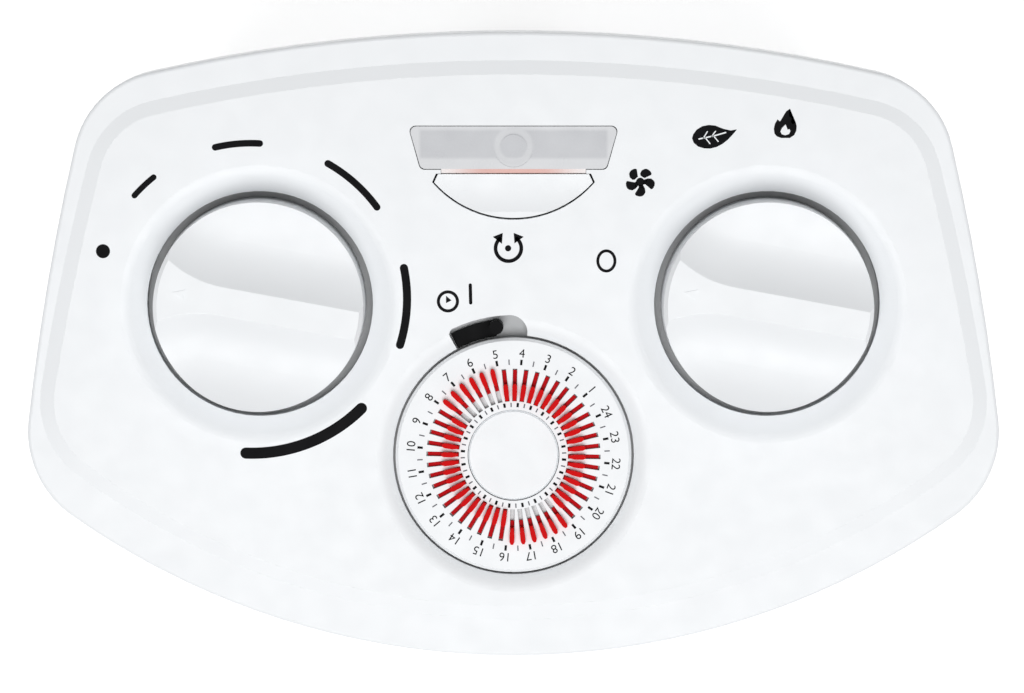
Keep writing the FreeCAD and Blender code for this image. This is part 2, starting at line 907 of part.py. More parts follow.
def build_panel():
    over = dim.tool_over
    tools = []
    dish = (dim.dish_radius, dim.dish_depth, dim.dish_soft)
    for tag, x in knob_sides:
        tools.append(well_tool(f"knob_well_{tag}", x, dim.knob_y, knob_well, dish, dim.well_depth))
        tools.append(cylinder(f"bush_hole_{tag}", dim.bush_radius + dim.fit_gap, dim.well_skin + over * 2,
                              x, dim.knob_y, knob_seat - over))
    dish = (dim.dial_dish_radius, dim.dial_dish_depth, dim.dial_dish_soft)
    tools.append(well_tool("dial_well", 0, dial_y, dial_well, dish, dim.dial_well_depth))
    tools.append(cylinder("dial_shaft_hole", dim.hub_radius, dim.well_skin + over * 2,
                          0, dial_y, dial_seat - over))
    recess_line = free_sketch("recess_line", draw_sector, dim.recess_inner, dim.recess_outer,
                              dim.recess_start, dim.recess_end)
    recess = extrude("lever_recess", recess_line, dim.recess_depth + over,
                     panel_top - dim.recess_depth, dial_y)
    middle = dim.recess_outer * cosine((dim.recess_start + dim.recess_end) / 2)
    swept = round_edges("lever_recess_swept", recess, dim.recess_sweep,
                        lambda edge: upright_edge(edge) and edge.CenterOfMass.x > middle.number)
    tools.append(round_edges("lever_recess_soft", swept, dim.recess_round,
                             lambda edge: upright_edge(edge) and edge.CenterOfMass.x < middle.number
                             and edge.Curve.TypeId == "Part::GeomLine"))
    track = free_sketch("stem_track", draw_sector, dim.nub_orbit - dim.stem_slot / 2,
                        dim.nub_orbit + dim.stem_slot / 2,
                        dim.stem_angle - dim.lever_swing - dim.stem_slot_lead,
                        dim.stem_angle + dim.stem_slot_lead)
    tools.append(extrude("stem_slot", track, dim.well_skin + over * 2, dial_seat - over, dial_y))
    window_line = free_sketch("window_line", draw_lens, dim.fit_gap, dim.fit_gap)
    window = extrude("lens_window", window_line, dim.panel_skin + over * 2, skin_low - over)
    tools.append(round_edges("lens_window_soft", window, dim.lens_round, upright_edge))
    tools.append(block("strip_slot", (-dim.strip_half, button_chord, skin_low - over),
                       (dim.strip_half, lens_front_y, panel_top + over)))
    hole_line = free_sketch("hole_line", draw_moon, dim.button_gap, dim.close_fit)
    tools.append(extrude("button_hole", hole_line, dim.sleeve_depth + over * 2, sleeve_end - over))
    keep("control_panel", cut("control_panel", panel_solid(), *tools))


# Knobs: a hollow turned cap whose two scoops leave a grip bar that flares towards its pointer end
def grip_scoop(name):
    """One hollow beside the bar, straight along the bar and then bent outward round the flare's centre."""
    near = -dim.flare_radius
    lowest = near + dim.scoop_run
    far = near + dim.knob_radius
    high = dim.knob_crest + dim.tool_over
    drop = dim.knob_crest - dim.knob_valley
    inner = (dim.scoop_run * dim.scoop_run + drop * drop) / (drop * 2)
    outer_run = dim.knob_radius - dim.scoop_run
    rise = dim.scoop_rim - root(dim.scoop_rim * dim.scoop_rim - outer_run * outer_run)
    corners = [
        (near, high),
        (near, dim.knob_crest, inner, 1),
        (lowest, dim.knob_valley, dim.scoop_rim, 1),
        (far, dim.knob_valley + rise),
        (far, high),
    ]
    scoop = new_body(name)
    section = body_sketch(scoop, "YZ_Plane", draw_profile, corners)
    pad(scoop, section, dim.knob_radius * 2, down=True)
    revolve(scoop, body_sketch(scoop, "YZ_Plane", draw_profile, corners), dim.flare_angle, both=False)
    return move(scoop, dim.flare_start, dim.grip_half + dim.flare_radius, 0)


def knob_form():
    bore = dim.spindle_radius + dim.close_fit
    low = -dim.knob_skirt
    ceiling = dim.knob_valley - dim.knob_wall
    inside = dim.knob_radius - dim.knob_wall
    cap = turned_body("knob_cap", [
        (0, dim.knob_crest),
        (dim.knob_top_radius - dim.knob_edge, dim.knob_crest),
        (dim.knob_top_radius, dim.knob_crest - dim.knob_edge),
        (dim.knob_top_radius, dim.knob_valley),
        (dim.knob_radius, low),
        (inside, low),
        (inside, ceiling),
        (dim.hub_radius, ceiling),
        (dim.hub_radius, low + dim.bond),
        (bore, low + dim.bond),
        (bore, dim.knob_valley - dim.knob_roof),
        (0, dim.knob_valley - dim.knob_roof),
    ])
    back = grip_scoop("knob_scoop_back")
    front = document.addObject("Part::Mirroring", "knob_scoop_front")
    front.Source = back
    front.Normal = FreeCAD.Vector(0, 1, 0)
    scooped = cut("knob_scooped", cap, back, front)
    return round_edges("knob_form", scooped, dim.grip_round, bar_edge)


def bar_edge(edge):
    """A test for the long upper edges of the grip bar, which meet near the knob's middle."""
    nearest = min(math.hypot(vertex.X, vertex.Y) for vertex in edge.Vertexes)
    return level_edge(dim.knob_crest)(edge) and nearest < dim.knob_top_radius.number / 2


def build_knobs():
    form = knob_form()
    spindle_top = panel_top + dim.knob_valley - dim.knob_roof - dim.fit_gap
    low = knob_seat - dim.spindle_tail
    for node, x, angle in (("thermostat", -dim.knob_x, dim.thermostat_angle),
                           ("selector", dim.knob_x, dim.selector_angle)):
        keep(f"{node}_knob", copy_of(f"{node}_knob", form, x, dim.knob_y, panel_top, spin(angle)))
        keep(f"{node}_spindle", cylinder(f"{node}_spindle", dim.spindle_radius, spindle_top - low,
                                         x, dim.knob_y, low))


# Units behind the panel: a case against the underside of each well, with a bush round each knob's spindle
def build_units():
    low = knob_seat - dim.thermostat_height
    half_width = dim.thermostat_half_width
    half_depth = dim.thermostat_half_depth
    case = block("thermostat_case", (-dim.knob_x - half_width, dim.knob_y - half_depth, low),
                 (half_width - dim.knob_x, dim.knob_y + half_depth, knob_seat))
    build_unit("thermostat", -dim.knob_x, case, low)
    low = knob_seat - dim.selector_height
    case = cylinder("selector_case", dim.selector_case_radius, dim.selector_height,
                    dim.knob_x, dim.knob_y, low)
    build_unit("selector", dim.knob_x, case, low)
    drum = cylinder("timer_drum", dim.timer_radius, dim.timer_height, 0, dial_y, dial_seat - dim.timer_height)
    high = dial_seat - dim.timer_switch_drop
    half = dim.timer_switch_half
    switch = block("timer_switch", (-half, dial_y + dim.timer_switch_near, high - dim.timer_switch_height),
                   (half, dial_y + dim.timer_switch_far, high))
    hole = cylinder("timer_bore", dim.dial_shaft + dim.spindle_play, dim.dial_shaft_length + dim.bond,
                    0, dial_y, dial_seat - dim.dial_shaft_length)
    keep("timer_case", cut("timer_case", fuse("timer_body", drum, switch), hole))
    half = dim.switch_plate_half
    low = sleeve_end - dim.switch_plate_thick
    plate = block("switch_plate", (-half, button_chord - dim.switch_plate_depth, low),
                  (half, button_chord, sleeve_end))
    half = dim.switch_half
    low = sleeve_end - dim.switch_height
    case = block("switch_case", (-half, button_chord - dim.switch_depth, low),
                 (half, button_chord - dim.bond, sleeve_end - dim.bond))
    hole = cylinder("switch_bore", dim.switch_bore, dim.switch_bore_depth + dim.tool_over,
                    0, button_chord - dim.button_stem_back, sleeve_end - dim.switch_bore_depth)
    keep("button_switch", cut("button_switch", fuse("switch_body", plate, case), hole))


def build_unit(node, x, case, low):
    """A case with a bush, a row of terminal tabs below it and a bore for the spindle."""
    bush = cylinder(f"{node}_bush", dim.bush_radius, dim.well_skin + dim.bush_rise, x, dim.knob_y, knob_seat)
    tabs = []
    for index in range(int(dim.tab_count)):
        left = x + dim.tab_pitch * (index - (dim.tab_count - 1) / 2) - dim.tab_thick / 2
        tabs.append(block(f"{node}_tab{index}", (left, dim.knob_y - dim.tab_width / 2, low - dim.tab_length),
                          (left + dim.tab_thick, dim.knob_y + dim.tab_width / 2, low + dim.bond)))
    hole = cylinder(f"{node}_bore", dim.spindle_radius + dim.spindle_play,
                    dim.spindle_tail + dim.well_skin + dim.bush_rise + dim.tool_over,
                    x, dim.knob_y, knob_seat - dim.spindle_tail - dim.bond)
    keep(f"{node}_unit", cut(f"{node}_unit", fuse(f"{node}_body", case, bush, *tabs), hole))


# Timer dial: a bevelled ring with slots over deeper channels, and a plain centre disc on the shaft
dial_face = panel_top - dim.dial_sink


def build_dial():
    dial = turned_body("timer_dial", [
        (dim.dial_hole, 0),
        (dim.dial_radius - dim.dial_bevel, 0),
        (dim.dial_radius, -dim.dial_bevel),
        (dim.dial_radius, -dim.dial_thick),
        (dim.dial_hole, -dim.dial_thick),
    ])
    half = dim.slot_width / 2
    slot_box = body_sketch(dial, "XY_Plane", draw_box, dim.slot_inner, -half, dim.slot_outer, half)
    slot = pocket(dial, slot_box, dim.slot_depth)
    channel_box = body_sketch(dial, "XY_Plane", draw_box, dim.channel_inner, -half, dim.channel_outer, half,
                              lift=-dim.dial_skin)
    channel = pocket(dial, channel_box, dim.slot_depth - dim.dial_skin)
    ring_pattern(dial, [slot, channel], dim.tappet_count)
    keep("timer_dial", move(dial, 0, dial_y, dial_face, spin(dim.tappet_first)))
    disc = dim.dial_hole - dim.disc_gap
    shaft_end = -dim.dial_thick - dim.dial_shaft_length
    hub = turned_body("dial_hub", [
        (0, -dim.disc_sink),
        (disc - dim.disc_bevel, -dim.disc_sink),
        (disc, -dim.disc_sink - dim.disc_bevel),
        (disc, -dim.dial_thick),
        (dim.dial_shaft, -dim.dial_thick),
        (dim.dial_shaft, shaft_end),
        (0, shaft_end),
    ])
    keep("dial_hub", move(hub, 0, dial_y, dial_face))
    build_tappets()


# Tappets pulled outward, as first and last place round the dial: the switched-on half hours
SET_RUNS = ((10, 16), (32, 38))


def tappet_form():
    """A tappet pushed inward: a tongue and a tail below the dial's skin, a stem between and a finger bulb."""
    form = new_body("tappet_form")
    inner = dim.slot_inner + dim.tappet_end_gap
    stem_end = inner + dim.stem_length
    tail_end = stem_end + dim.tail_length
    low = dim.close_fit - dim.slot_depth
    tongue = inner - dim.tongue_length
    side_view = body_sketch(form, "XZ_Plane", draw_profile, [
        (tongue, low),
        (tail_end, low),
        (tail_end, -dim.tail_drop),
        (stem_end, -dim.tail_drop),
        (stem_end, dim.tappet_rise),
        (inner, dim.tappet_rise),
        (inner, -dim.tail_drop),
        (tongue, -dim.tail_drop),
    ])
    pad(form, side_view, dim.tappet_width, both=True)
    half = dim.bulb_width / 2
    near = inner + dim.close_fit
    far = inner + dim.bulb_length
    bulb = body_sketch(form, "XY_Plane", draw_profile, [
        (near, -half / 2),
        (near + dim.bulb_taper, -half),
        (far - dim.bulb_chamfer, -half),
        (far, -half / 2),
        (far, half / 2),
        (far - dim.bulb_chamfer, half),
        (near + dim.bulb_taper, half),
        (near, half / 2),
    ], lift=dim.bulb_low)
    pad(form, bulb, dim.bulb_height)
    return form


def build_tappets():
    form = tappet_form()
    idle = []
    for index in range(int(dim.tappet_count)):
        angle = dim.tappet_first + dim.tappet_step * index
        pulled = any(begin <= index < end for begin, end in SET_RUNS)
        reach = dim.tappet_travel if pulled else nothing
        name = f"tappet_{index // 2:02d}{30 * (index % 2):02d}"
        x = reach * cosine(angle)
        y = dial_y + reach * sine(angle)
        item = copy_of(name, form, x, y, dial_face, spin(angle))
        if pulled:
            keep(name, item)
        else:
            idle.append(item)
    keep("idle_tappets", group("idle_tappets", idle))


# Mode lever: a curved black slide with a finger nub and a stem that reaches the timer switch
def build_lever():
    lever = new_body("mode_lever")
    slide = body_sketch(lever, "XY_Plane", draw_sector, dim.lever_inner, dim.lever_outer,
                        dim.lever_start, dim.lever_end)
    pad(lever, slide, dim.lever_thick)
    for angle, radius, reach, down in (
        (dim.nub_angle, dim.nub_radius, dim.lever_thick + dim.nub_height, False),
        (dim.stem_angle, dim.stem_radius, dim.stem_drop, True),
    ):
        spot = body_sketch(lever, "XY_Plane", draw_circle, dim.nub_orbit * cosine(angle),
                           dim.nub_orbit * sine(angle), radius)
        pad(lever, spot, reach, down=down)
    keep("mode_lever", move(lever, 0, dial_y, panel_top - dim.recess_depth + dim.lever_lift))


# Lamp lens, light strip, pilot lamp and push button
def build_front_row():
    lens_top = panel_top - dim.lens_sink
    plate = extrude("lens_plate", free_sketch("lens_line", draw_lens, nothing, nothing),
                    dim.lens_thick, lens_top - dim.lens_thick)
    plate = round_edges("lens_soft", plate, dim.lens_round, upright_edge)
    under = skin_low - dim.lens_flange_thick
    flange = extrude("lens_flange", free_sketch("flange_line", draw_lens, dim.lens_flange, nothing),
                     dim.lens_flange_thick, under)
    middle = (lens_back_y + lens_front_y) / 2
    low = lens_top - dim.lens_ring_depth
    height = dim.lens_ring_depth + dim.tool_over
    ring = cut("lens_ring_tool", cylinder("lens_ring_out", dim.lens_ring, height, 0, middle, low),
               cylinder("lens_ring_in", dim.lens_ring_inner, height, 0, middle, low))
    keep("lamp_lens", cut("lamp_lens", fuse("lens_body", plate, flange), ring))
    strip_top = panel_top - dim.strip_sink
    strip_end = dim.strip_half - dim.close_fit
    strip_front = lens_front_y - dim.strip_depth
    keep("light_strip", block("light_strip", (-strip_end, strip_front, strip_top - dim.strip_height),
                              (strip_end, lens_front_y, strip_top)))
    bulb = cylinder("lamp_bulb", dim.lamp_radius, dim.lamp_length, 0, middle, under - dim.lamp_length)
    foot_low = under - dim.lamp_foot_low
    foot = block("lamp_foot", (-dim.lamp_foot_half, middle - dim.lamp_radius, foot_low),
                 (dim.lamp_foot_half, middle + dim.lamp_radius, foot_low + dim.lamp_foot_thick))
    keep("pilot_lamp", fuse("pilot_lamp", bulb, foot))
    button_low = panel_top - dim.button_body
    body = extrude("button_block", free_sketch("button_line", draw_moon, nothing, nothing),
                   dim.button_body + dim.button_rise, button_low)
    scoop_level = panel_top + dim.button_scoop + dim.close_fit
    scoop = cylinder("button_scoop", dim.button_scoop, dim.button_half * 4, -dim.button_half * 2,
                     button_chord - dim.button_scoop_back, scoop_level, ALONG_RIGHT)
    stem = cylinder("button_stem", dim.button_stem, dim.button_stem_drop + dim.bond,
                    0, button_chord - dim.button_stem_back, button_low - dim.button_stem_drop)
    keep("swivel_button", fuse("swivel_button", cut("button_scooped", body, scoop), stem))


# Housing: tapered front and rear shells over a floor pan, with an outlet window and intake slots
def boss_spots():
    """Where the shell bosses stand, close enough to the front and rear walls to grow out of them."""
    deeper = shell_inset(floor_level) + dim.shell_wall
    clear = dim.screw_head + dim.fit_gap * 3
    x = dim.boss_x
    front_r = dim.front_radius - deeper
    back_r = dim.back_radius - deeper
    front_y = front_centre_y - root(front_r * front_r - x * x) + clear
    back_y = dim.panel_depth / 2 - dim.back_radius + root(back_r * back_r - x * x) - clear
    return [(-x, front_y), (x, front_y), (-x, back_y), (x, back_y)]


def draw_intake(sketch):
    """One row of upright intake slots."""
    first = (dim.intake_columns - 1) * dim.intake_pitch / -2
    low = housing_low + dim.intake_low
    half = dim.intake_width / 2
    for column in range(int(dim.intake_columns)):
        middle = first + dim.intake_pitch * column
        draw_box(sketch, middle - half, low, middle + half, low + dim.intake_height)


def outlet_window():
    window = new_body("outlet_window")
    deep = dim.shell_bottom_inset * 2
    low = housing_low + dim.window_low
    high = housing_low + dim.window_high
    section = body_sketch(window, "YZ_Plane", draw_box, -dim.front_radius - deep, low,
                          deep - dim.front_radius, high)
    revolve(window, section, dim.window_angle)
    return move(window, 0, front_centre_y, 0)


def intake_slots():
    slots = new_body("intake_slots")
    row_sketch = body_sketch(slots, "XZ_Plane", draw_intake, lift=-dim.panel_depth / 4)
    row = pad(slots, row_sketch, dim.panel_depth, down=True)
    row_pattern(slots, [row], "Z_Axis", dim.intake_row_pitch * (dim.intake_rows - 1), dim.intake_rows)
    return slots


def build_shells():
    over = dim.tool_over
    outer = housing_loft("housing_outer", housing_low, housing_high, nothing)
    inner = housing_loft("housing_inner", housing_low - over, housing_high + over, dim.shell_wall)
    walls = cut("housing_walls", outer, inner)
    reach = dim.panel_width
    low = housing_low - over
    high = housing_high + over
    spots = boss_spots()
    front_half = block("front_half", (-reach, -reach, low), (reach, dim.split_y, high))
    rear_half = block("rear_half", (-reach, dim.split_y + dim.fit_gap, low), (reach, reach, high))
    for tag, half, opening, pair in (("front", front_half, outlet_window(), spots[:2]),
                                     ("rear", rear_half, intake_slots(), spots[2:])):
        bosses = []
        pilots = []
        for index, (x, y) in enumerate(pair):
            post = cylinder(f"{tag}_boss_post{index}", dim.boss_radius, dim.boss_height, x, y, floor_level)
            bosses.append(common(f"{tag}_boss{index}", post, outer))
            pilots.append(cylinder(f"{tag}_pilot{index}", dim.screw_radius + dim.close_fit,
                                   dim.boss_height - dim.boss_roof, x, y, floor_level))
        solid = fuse(f"{tag}_with_bosses", common(f"{tag}_wall", walls, half), *bosses)
        keep(f"{tag}_shell", cut(f"{tag}_shell", solid, opening, *pilots))


def build_floor():
    over = dim.tool_over
    inset = shell_inset(housing_low) + dim.shell_wall + dim.fit_gap
    plate = extrude("floor_plate", free_sketch("floor_line", draw_outline, inset, inset, inset),
                    dim.floor_thick, housing_low)
    tube = cylinder("floor_tube", dim.hub_tube, dim.hub_rise, 0, 0, housing_low)
    tools = [cylinder("pivot_hole", dim.pivot_radius + dim.pivot_clearance, dim.hub_rise + over * 2,
                      0, 0, housing_low - over),
             cylinder("drive_hole", dim.pinion_stalk + dim.stalk_play * 2, dim.floor_thick + over * 2,
                      0, drive_distance, housing_low - over)]
    low = housing_low - over
    for index, (x, y) in enumerate(boss_spots()):
        tools.append(cylinder(f"floor_hole{index}", dim.screw_radius + dim.fit_gap,
                              dim.floor_thick + over * 2, x, y, low))
        tools.append(cylinder(f"floor_sink{index}", dim.screw_head + dim.fit_gap,
                              dim.screw_head_height + over, x, y, low))
    keep("floor_pan", cut("floor_pan", fuse("floor_solid", plate, tube), *tools))


def screw_form(name, length):
    """A pan-head screw standing on its head, its shank upward from level zero."""
    chamfer = dim.screw_chamfer
    return turned_body(name, [
        (0, -dim.screw_head_height),
        (dim.screw_head - chamfer, -dim.screw_head_height),
        (dim.screw_head, chamfer - dim.screw_head_height),
        (dim.screw_head, 0),
        (dim.screw_radius, 0),
        (dim.screw_radius, length - chamfer),
        (dim.screw_radius - chamfer, length),
        (0, length),
    ])


def build_screws():
    form = screw_form("housing_screw_form", dim.housing_screw_length)
    copies = [copy_of(f"housing_screw{index}", form, x, y, housing_low + dim.screw_head_height)
              for index, (x, y) in enumerate(boss_spots())]
    keep("housing_screws", group("housing_screws", copies))
    form = screw_form("base_screw_form", dim.base_screw_length)
    copies = [copy_of(f"base_screw{index}", form, x, y, dim.foot_height)
              for index, (x, y) in enumerate(base_spots())]
    keep("base_screws", group("base_screws", copies))


# Outlet grille: a conical slab set back in the window, with a flange behind the wall and rows of slots
def build_grille():
    grille = new_body("outlet_grille")
    low = housing_low + dim.window_low + dim.fit_gap
    high = housing_low + dim.window_high - dim.fit_gap

    def ring(bottom, top, outside, inside):
        return [
            (shell_inset(bottom) + outside - dim.front_radius, bottom),
            (shell_inset(bottom) + inside - dim.front_radius, bottom),
            (shell_inset(top) + inside - dim.front_radius, top),
            (shell_inset(top) + outside - dim.front_radius, top),
        ]

    depth = dim.grille_recess + dim.grille_thick
    slab = body_sketch(grille, "YZ_Plane", draw_profile, ring(low, high, dim.grille_recess, depth))
    revolve(grille, slab, dim.window_angle - dim.grille_play)
    flange = body_sketch(grille, "YZ_Plane", draw_profile, ring(
        low - dim.grille_flange, high + dim.grille_flange, dim.shell_wall + dim.fit_gap, depth))
    revolve(grille, flange, dim.window_angle + dim.flange_angle)
    columns = dim.grille_columns
    column = (dim.grille_reach * 2 - dim.grille_rib * (columns - 1)) / columns
    first = low + dim.grille_border

    def draw_slots(sketch):
        for index in range(int(columns)):
            left = (column + dim.grille_rib) * index - dim.grille_reach
            draw_box(sketch, left, first, left + column, first + dim.grille_slot)

    row = pocket(grille, body_sketch(grille, "XZ_Plane", draw_slots))
    row_pattern(grille, [row], "Z_Axis", dim.grille_pitch * (dim.grille_rows - 1), dim.grille_rows)
    keep("outlet_grille", move(grille, 0, front_centre_y, 0))


# Base: a round shell with a gear well and a hollow pivot, closed by a plate on rubber feet
well_floor = base_top - dim.gear_well_depth
drive_distance = (dim.gear_teeth + dim.pinion_teeth) * dim.gear_module / 2
clip_level = housing_low + dim.hub_rise + dim.fit_gap
glide_inner = dim.gear_well + dim.glide_margin
glide_outer = glide_inner + dim.glide_width
crown_round = least(dim.crown_round, dim.base_radius - dim.glide_margin - glide_outer)
crown_radius = dim.base_radius - crown_round
edge_top = dim.foot_height + dim.base_edge + dim.crown_round - crown_round
plate_top = dim.foot_height + dim.plate_thick
neck_radius = dim.pivot_radius - dim.clip_groove
inlet_face = dim.base_radius - dim.inlet_depth
inlet_low = dim.foot_height + dim.inlet_low
inlet_high = inlet_low + dim.inlet_height


def base_spots():
    return list(around(dim.screw_count, dim.base_radius - dim.screw_inset, dim.screw_turn.number))


def base_shell_form():
    wall = dim.base_wall
    groove_low = clip_level - dim.close_fit
    groove_high = clip_level + dim.clip_thick + dim.close_fit
    pivot_top = base_top + dim.pivot_rise
    return turned_body("base_dome", [
        (dim.base_radius, dim.foot_height),
        (dim.base_radius, edge_top, crown_round, 1),
        (crown_radius, base_top),
        (dim.gear_well, base_top),
        (dim.gear_well, well_floor),
        (dim.pivot_radius, well_floor),
        (dim.pivot_radius, groove_low),
        (neck_radius, groove_low),
        (neck_radius, groove_high),
        (dim.pivot_radius, groove_high),
        (dim.pivot_radius, pivot_top),
        (dim.pivot_bore, pivot_top),
        (dim.pivot_bore, well_floor - wall),
        (dim.gear_well + wall, well_floor - wall),
        (dim.gear_well + wall, base_top - wall),
        (crown_radius, base_top - wall, crown_round - wall, -1),
        (dim.base_radius - wall, edge_top),
        (dim.base_radius - wall, dim.foot_height),
    ])


def build_base():
    wall = dim.base_wall
    over = dim.tool_over
    outer = cylinder("base_outer", dim.base_radius, edge_top, 0, 0, 0)
    inlet_wall = block("inlet_wall", (-dim.inlet_half - wall, inlet_face - wall, plate_top + dim.fit_gap),
                       (dim.inlet_half + wall, dim.base_radius + over, inlet_high + wall))
    bosses = [common("inlet_block", inlet_wall, outer)]
    holes = [
        block("inlet_pocket", (-dim.inlet_half, inlet_face, inlet_low),
              (dim.inlet_half, dim.base_radius + over, inlet_high)),
        cylinder("gland_hole", dim.gland_radius + dim.close_fit, wall + over * 2,
                 0, inlet_face - wall - over, (inlet_low + inlet_high) / 2, ALONG_BACK),
    ]
    for index, (x, y) in enumerate(base_spots()):
        bosses.append(cylinder(f"base_boss{index}", dim.boss_radius, base_top - wall / 2 - plate_top,
                               x, y, plate_top))
        holes.append(cylinder(f"base_pilot{index}", dim.screw_radius + dim.close_fit, dim.base_screw_length,
                              x, y, plate_top))
    keep("base_shell", cut("base_shell", fuse("base_with_bosses", base_shell_form(), *bosses), *holes))
    disc = cylinder("base_disc", dim.base_radius - wall - dim.fit_gap, dim.plate_thick, 0, 0, dim.foot_height)
    holes = [cylinder(f"plate_hole{index}", dim.screw_radius + dim.fit_gap, plate_top + over, x, y, 0)
             for index, (x, y) in enumerate(base_spots())]
    keep("base_plate", cut("base_plate", disc, *holes))
    build_base_fittings()
    build_gland()


def build_base_fittings():
    foot = turned_body("foot_form", [
        (0, 0),
        (dim.foot_radius - dim.foot_chamfer, 0),
        (dim.foot_radius, dim.foot_chamfer),
        (dim.foot_radius, dim.foot_height),
        (0, dim.foot_height),
    ])
    spots = around(dim.foot_count, dim.base_radius - dim.foot_inset, dim.foot_turn.number)
    keep("rubber_feet", group("rubber_feet", [copy_of(f"foot{index}", foot, x, y)
                                              for index, (x, y) in enumerate(spots)]))
    keep("glide_ring", turned_body("glide_ring", [
        (glide_inner, base_top),
        (glide_outer, base_top),
        (glide_outer, base_top + dim.glide_height),
        (glide_inner, base_top + dim.glide_height),
    ]))
    over = dim.tool_over
    ring = cut("clip_ring", cylinder("clip_outer", dim.clip_outer, dim.clip_thick, 0, 0, clip_level),
               cylinder("clip_inner", neck_radius + dim.close_fit, dim.clip_thick + over * 2,
                        0, 0, clip_level - over))
    gap = block("clip_gap", (-dim.clip_gap_half, -dim.clip_outer - over, clip_level - over),
                (dim.clip_gap_half, dim.clip_gap_depth - dim.clip_outer, clip_level + over))
    keep("hub_clip", cut("hub_clip", ring, gap))


def build_gland():
    """A rubber bush gripping the inlet wall between two lips, open for a cable."""
    neck = dim.gland_lip + dim.base_wall
    end = neck + dim.gland_lip * 2
    gland = turned_body("cable_gland", [
        (dim.gland_bore, 0),
        (dim.gland_flange, 0),
        (dim.gland_flange, dim.gland_lip),
        (dim.gland_radius, dim.gland_lip),
        (dim.gland_radius, neck),
        (dim.gland_flange, neck),
        (dim.gland_flange, neck + dim.gland_lip),
        (dim.gland_radius, end),
        (dim.gland_bore, end),
    ])
    keep("cable_gland", move(gland, 0, inlet_face - neck, (inlet_low + inlet_high) / 2, ALONG_BACK))


# Oscillation drive: a fixed toothed ring in the base and a pinion carried round it by the housing
FLANK_STEPS = 4


def gear_face(teeth, phase):
    """A spur gear outline with involute flanks, as a flat face; phase turns the first tooth."""
    module = float(dim.gear_module)
    pitch = teeth * module / 2
    base = pitch * float(cosine(dim.pressure_angle))
    tip = pitch + module * float(dim.tooth_head)
    foot = pitch - module * float(dim.tooth_foot)
    start = max(base, foot)
    half_tooth = math.pi / (2 * teeth) - float(dim.gear_backlash) / (4 * pitch)
    lean = involute(base, pitch)
    radii = [start + (tip - start) * step / FLANK_STEPS for step in range(FLANK_STEPS + 1)]
    flank = [(foot, half_tooth + lean)] if foot < base else []
    flank += [(radius, half_tooth + lean - involute(base, radius)) for radius in radii]
    points = []
    for tooth in range(teeth):
        middle = phase + 2 * math.pi * tooth / teeth
        points += [polar(radius, middle - angle) for radius, angle in flank]
        points += [polar(radius, middle + angle) for radius, angle in reversed(flank)]
    return Part.Face(Part.makePolygon(points + points[:1]))


def involute(base, radius):
    """The roll angle of an involute from its base circle out to a radius."""
    angle = math.acos(base / radius)
    return math.tan(angle) - angle


def polar(radius, angle):
    return FreeCAD.Vector(radius * math.cos(angle), radius * math.sin(angle), 0)


def build_drive():
    over = dim.tool_over
    up = FreeCAD.Vector(0, 0, float(dim.gear_height))
    ring = freeform("gear_blank", gear_face(int(dim.gear_teeth), math.pi / 2).extrude(up), 0, 0, well_floor)
    hole = cylinder("gear_hole", dim.pivot_radius + dim.close_fit, dim.gear_height + over * 2,
                    0, 0, well_floor - over)
    keep("fixed_gear", cut("fixed_gear", ring, hole))
    teeth = int(dim.pinion_teeth)
    pinion_low = well_floor + dim.pinion_lift
    wheel = freeform("pinion_wheel", gear_face(teeth, math.pi / teeth - math.pi / 2).extrude(up),
                     0, drive_distance, pinion_low)
    stalk_top = floor_level + dim.stalk_rise
    stalk = cylinder("pinion_stalk", dim.pinion_stalk, stalk_top - pinion_low - dim.bond,
                     0, drive_distance, pinion_low + dim.bond)
    keep("drive_pinion", fuse("drive_pinion", wheel, stalk))
    can = cylinder("swivel_can", dim.swivel_motor_radius, dim.swivel_motor_height,
                   0, drive_distance, floor_level)
    socket = cylinder("swivel_socket", dim.pinion_stalk + dim.stalk_play, dim.stalk_rise + dim.bond * 2,
                      0, drive_distance, floor_level - dim.bond)
    keep("swivel_motor", cut("swivel_motor", can, socket))
    left = dim.terminal_x - dim.terminal_half
    right = dim.terminal_x + dim.terminal_half
    near = dim.terminal_y - dim.terminal_half_depth
    far = dim.terminal_y + dim.terminal_half_depth
    high = floor_level + dim.terminal_height
    pieces = [block("terminal_body", (left, near, floor_level), (right, far, high))]
    pitch = (dim.terminal_half * 2 - dim.terminal_rib_thick) / (dim.terminal_ribs - 1)
    for index in range(int(dim.terminal_ribs)):
        rib = left + pitch * index
        pieces.append(block(f"terminal_rib{index}", (rib, near, high - dim.bond),
                            (rib + dim.terminal_rib_thick, far, high + dim.terminal_rib_height)))
    keep("terminal_block", fuse("terminal_block", *pieces))


# Fan: a baffle with a duct ring, a motor held by a spider and an impeller on its shaft
baffle_y = dim.baffle_setback - dim.panel_depth / 2
duct_end = baffle_y + dim.duct_length
fan_back = duct_end - dim.fan_behind
baffle_top = dial_seat - dim.timer_height - dim.baffle_clear


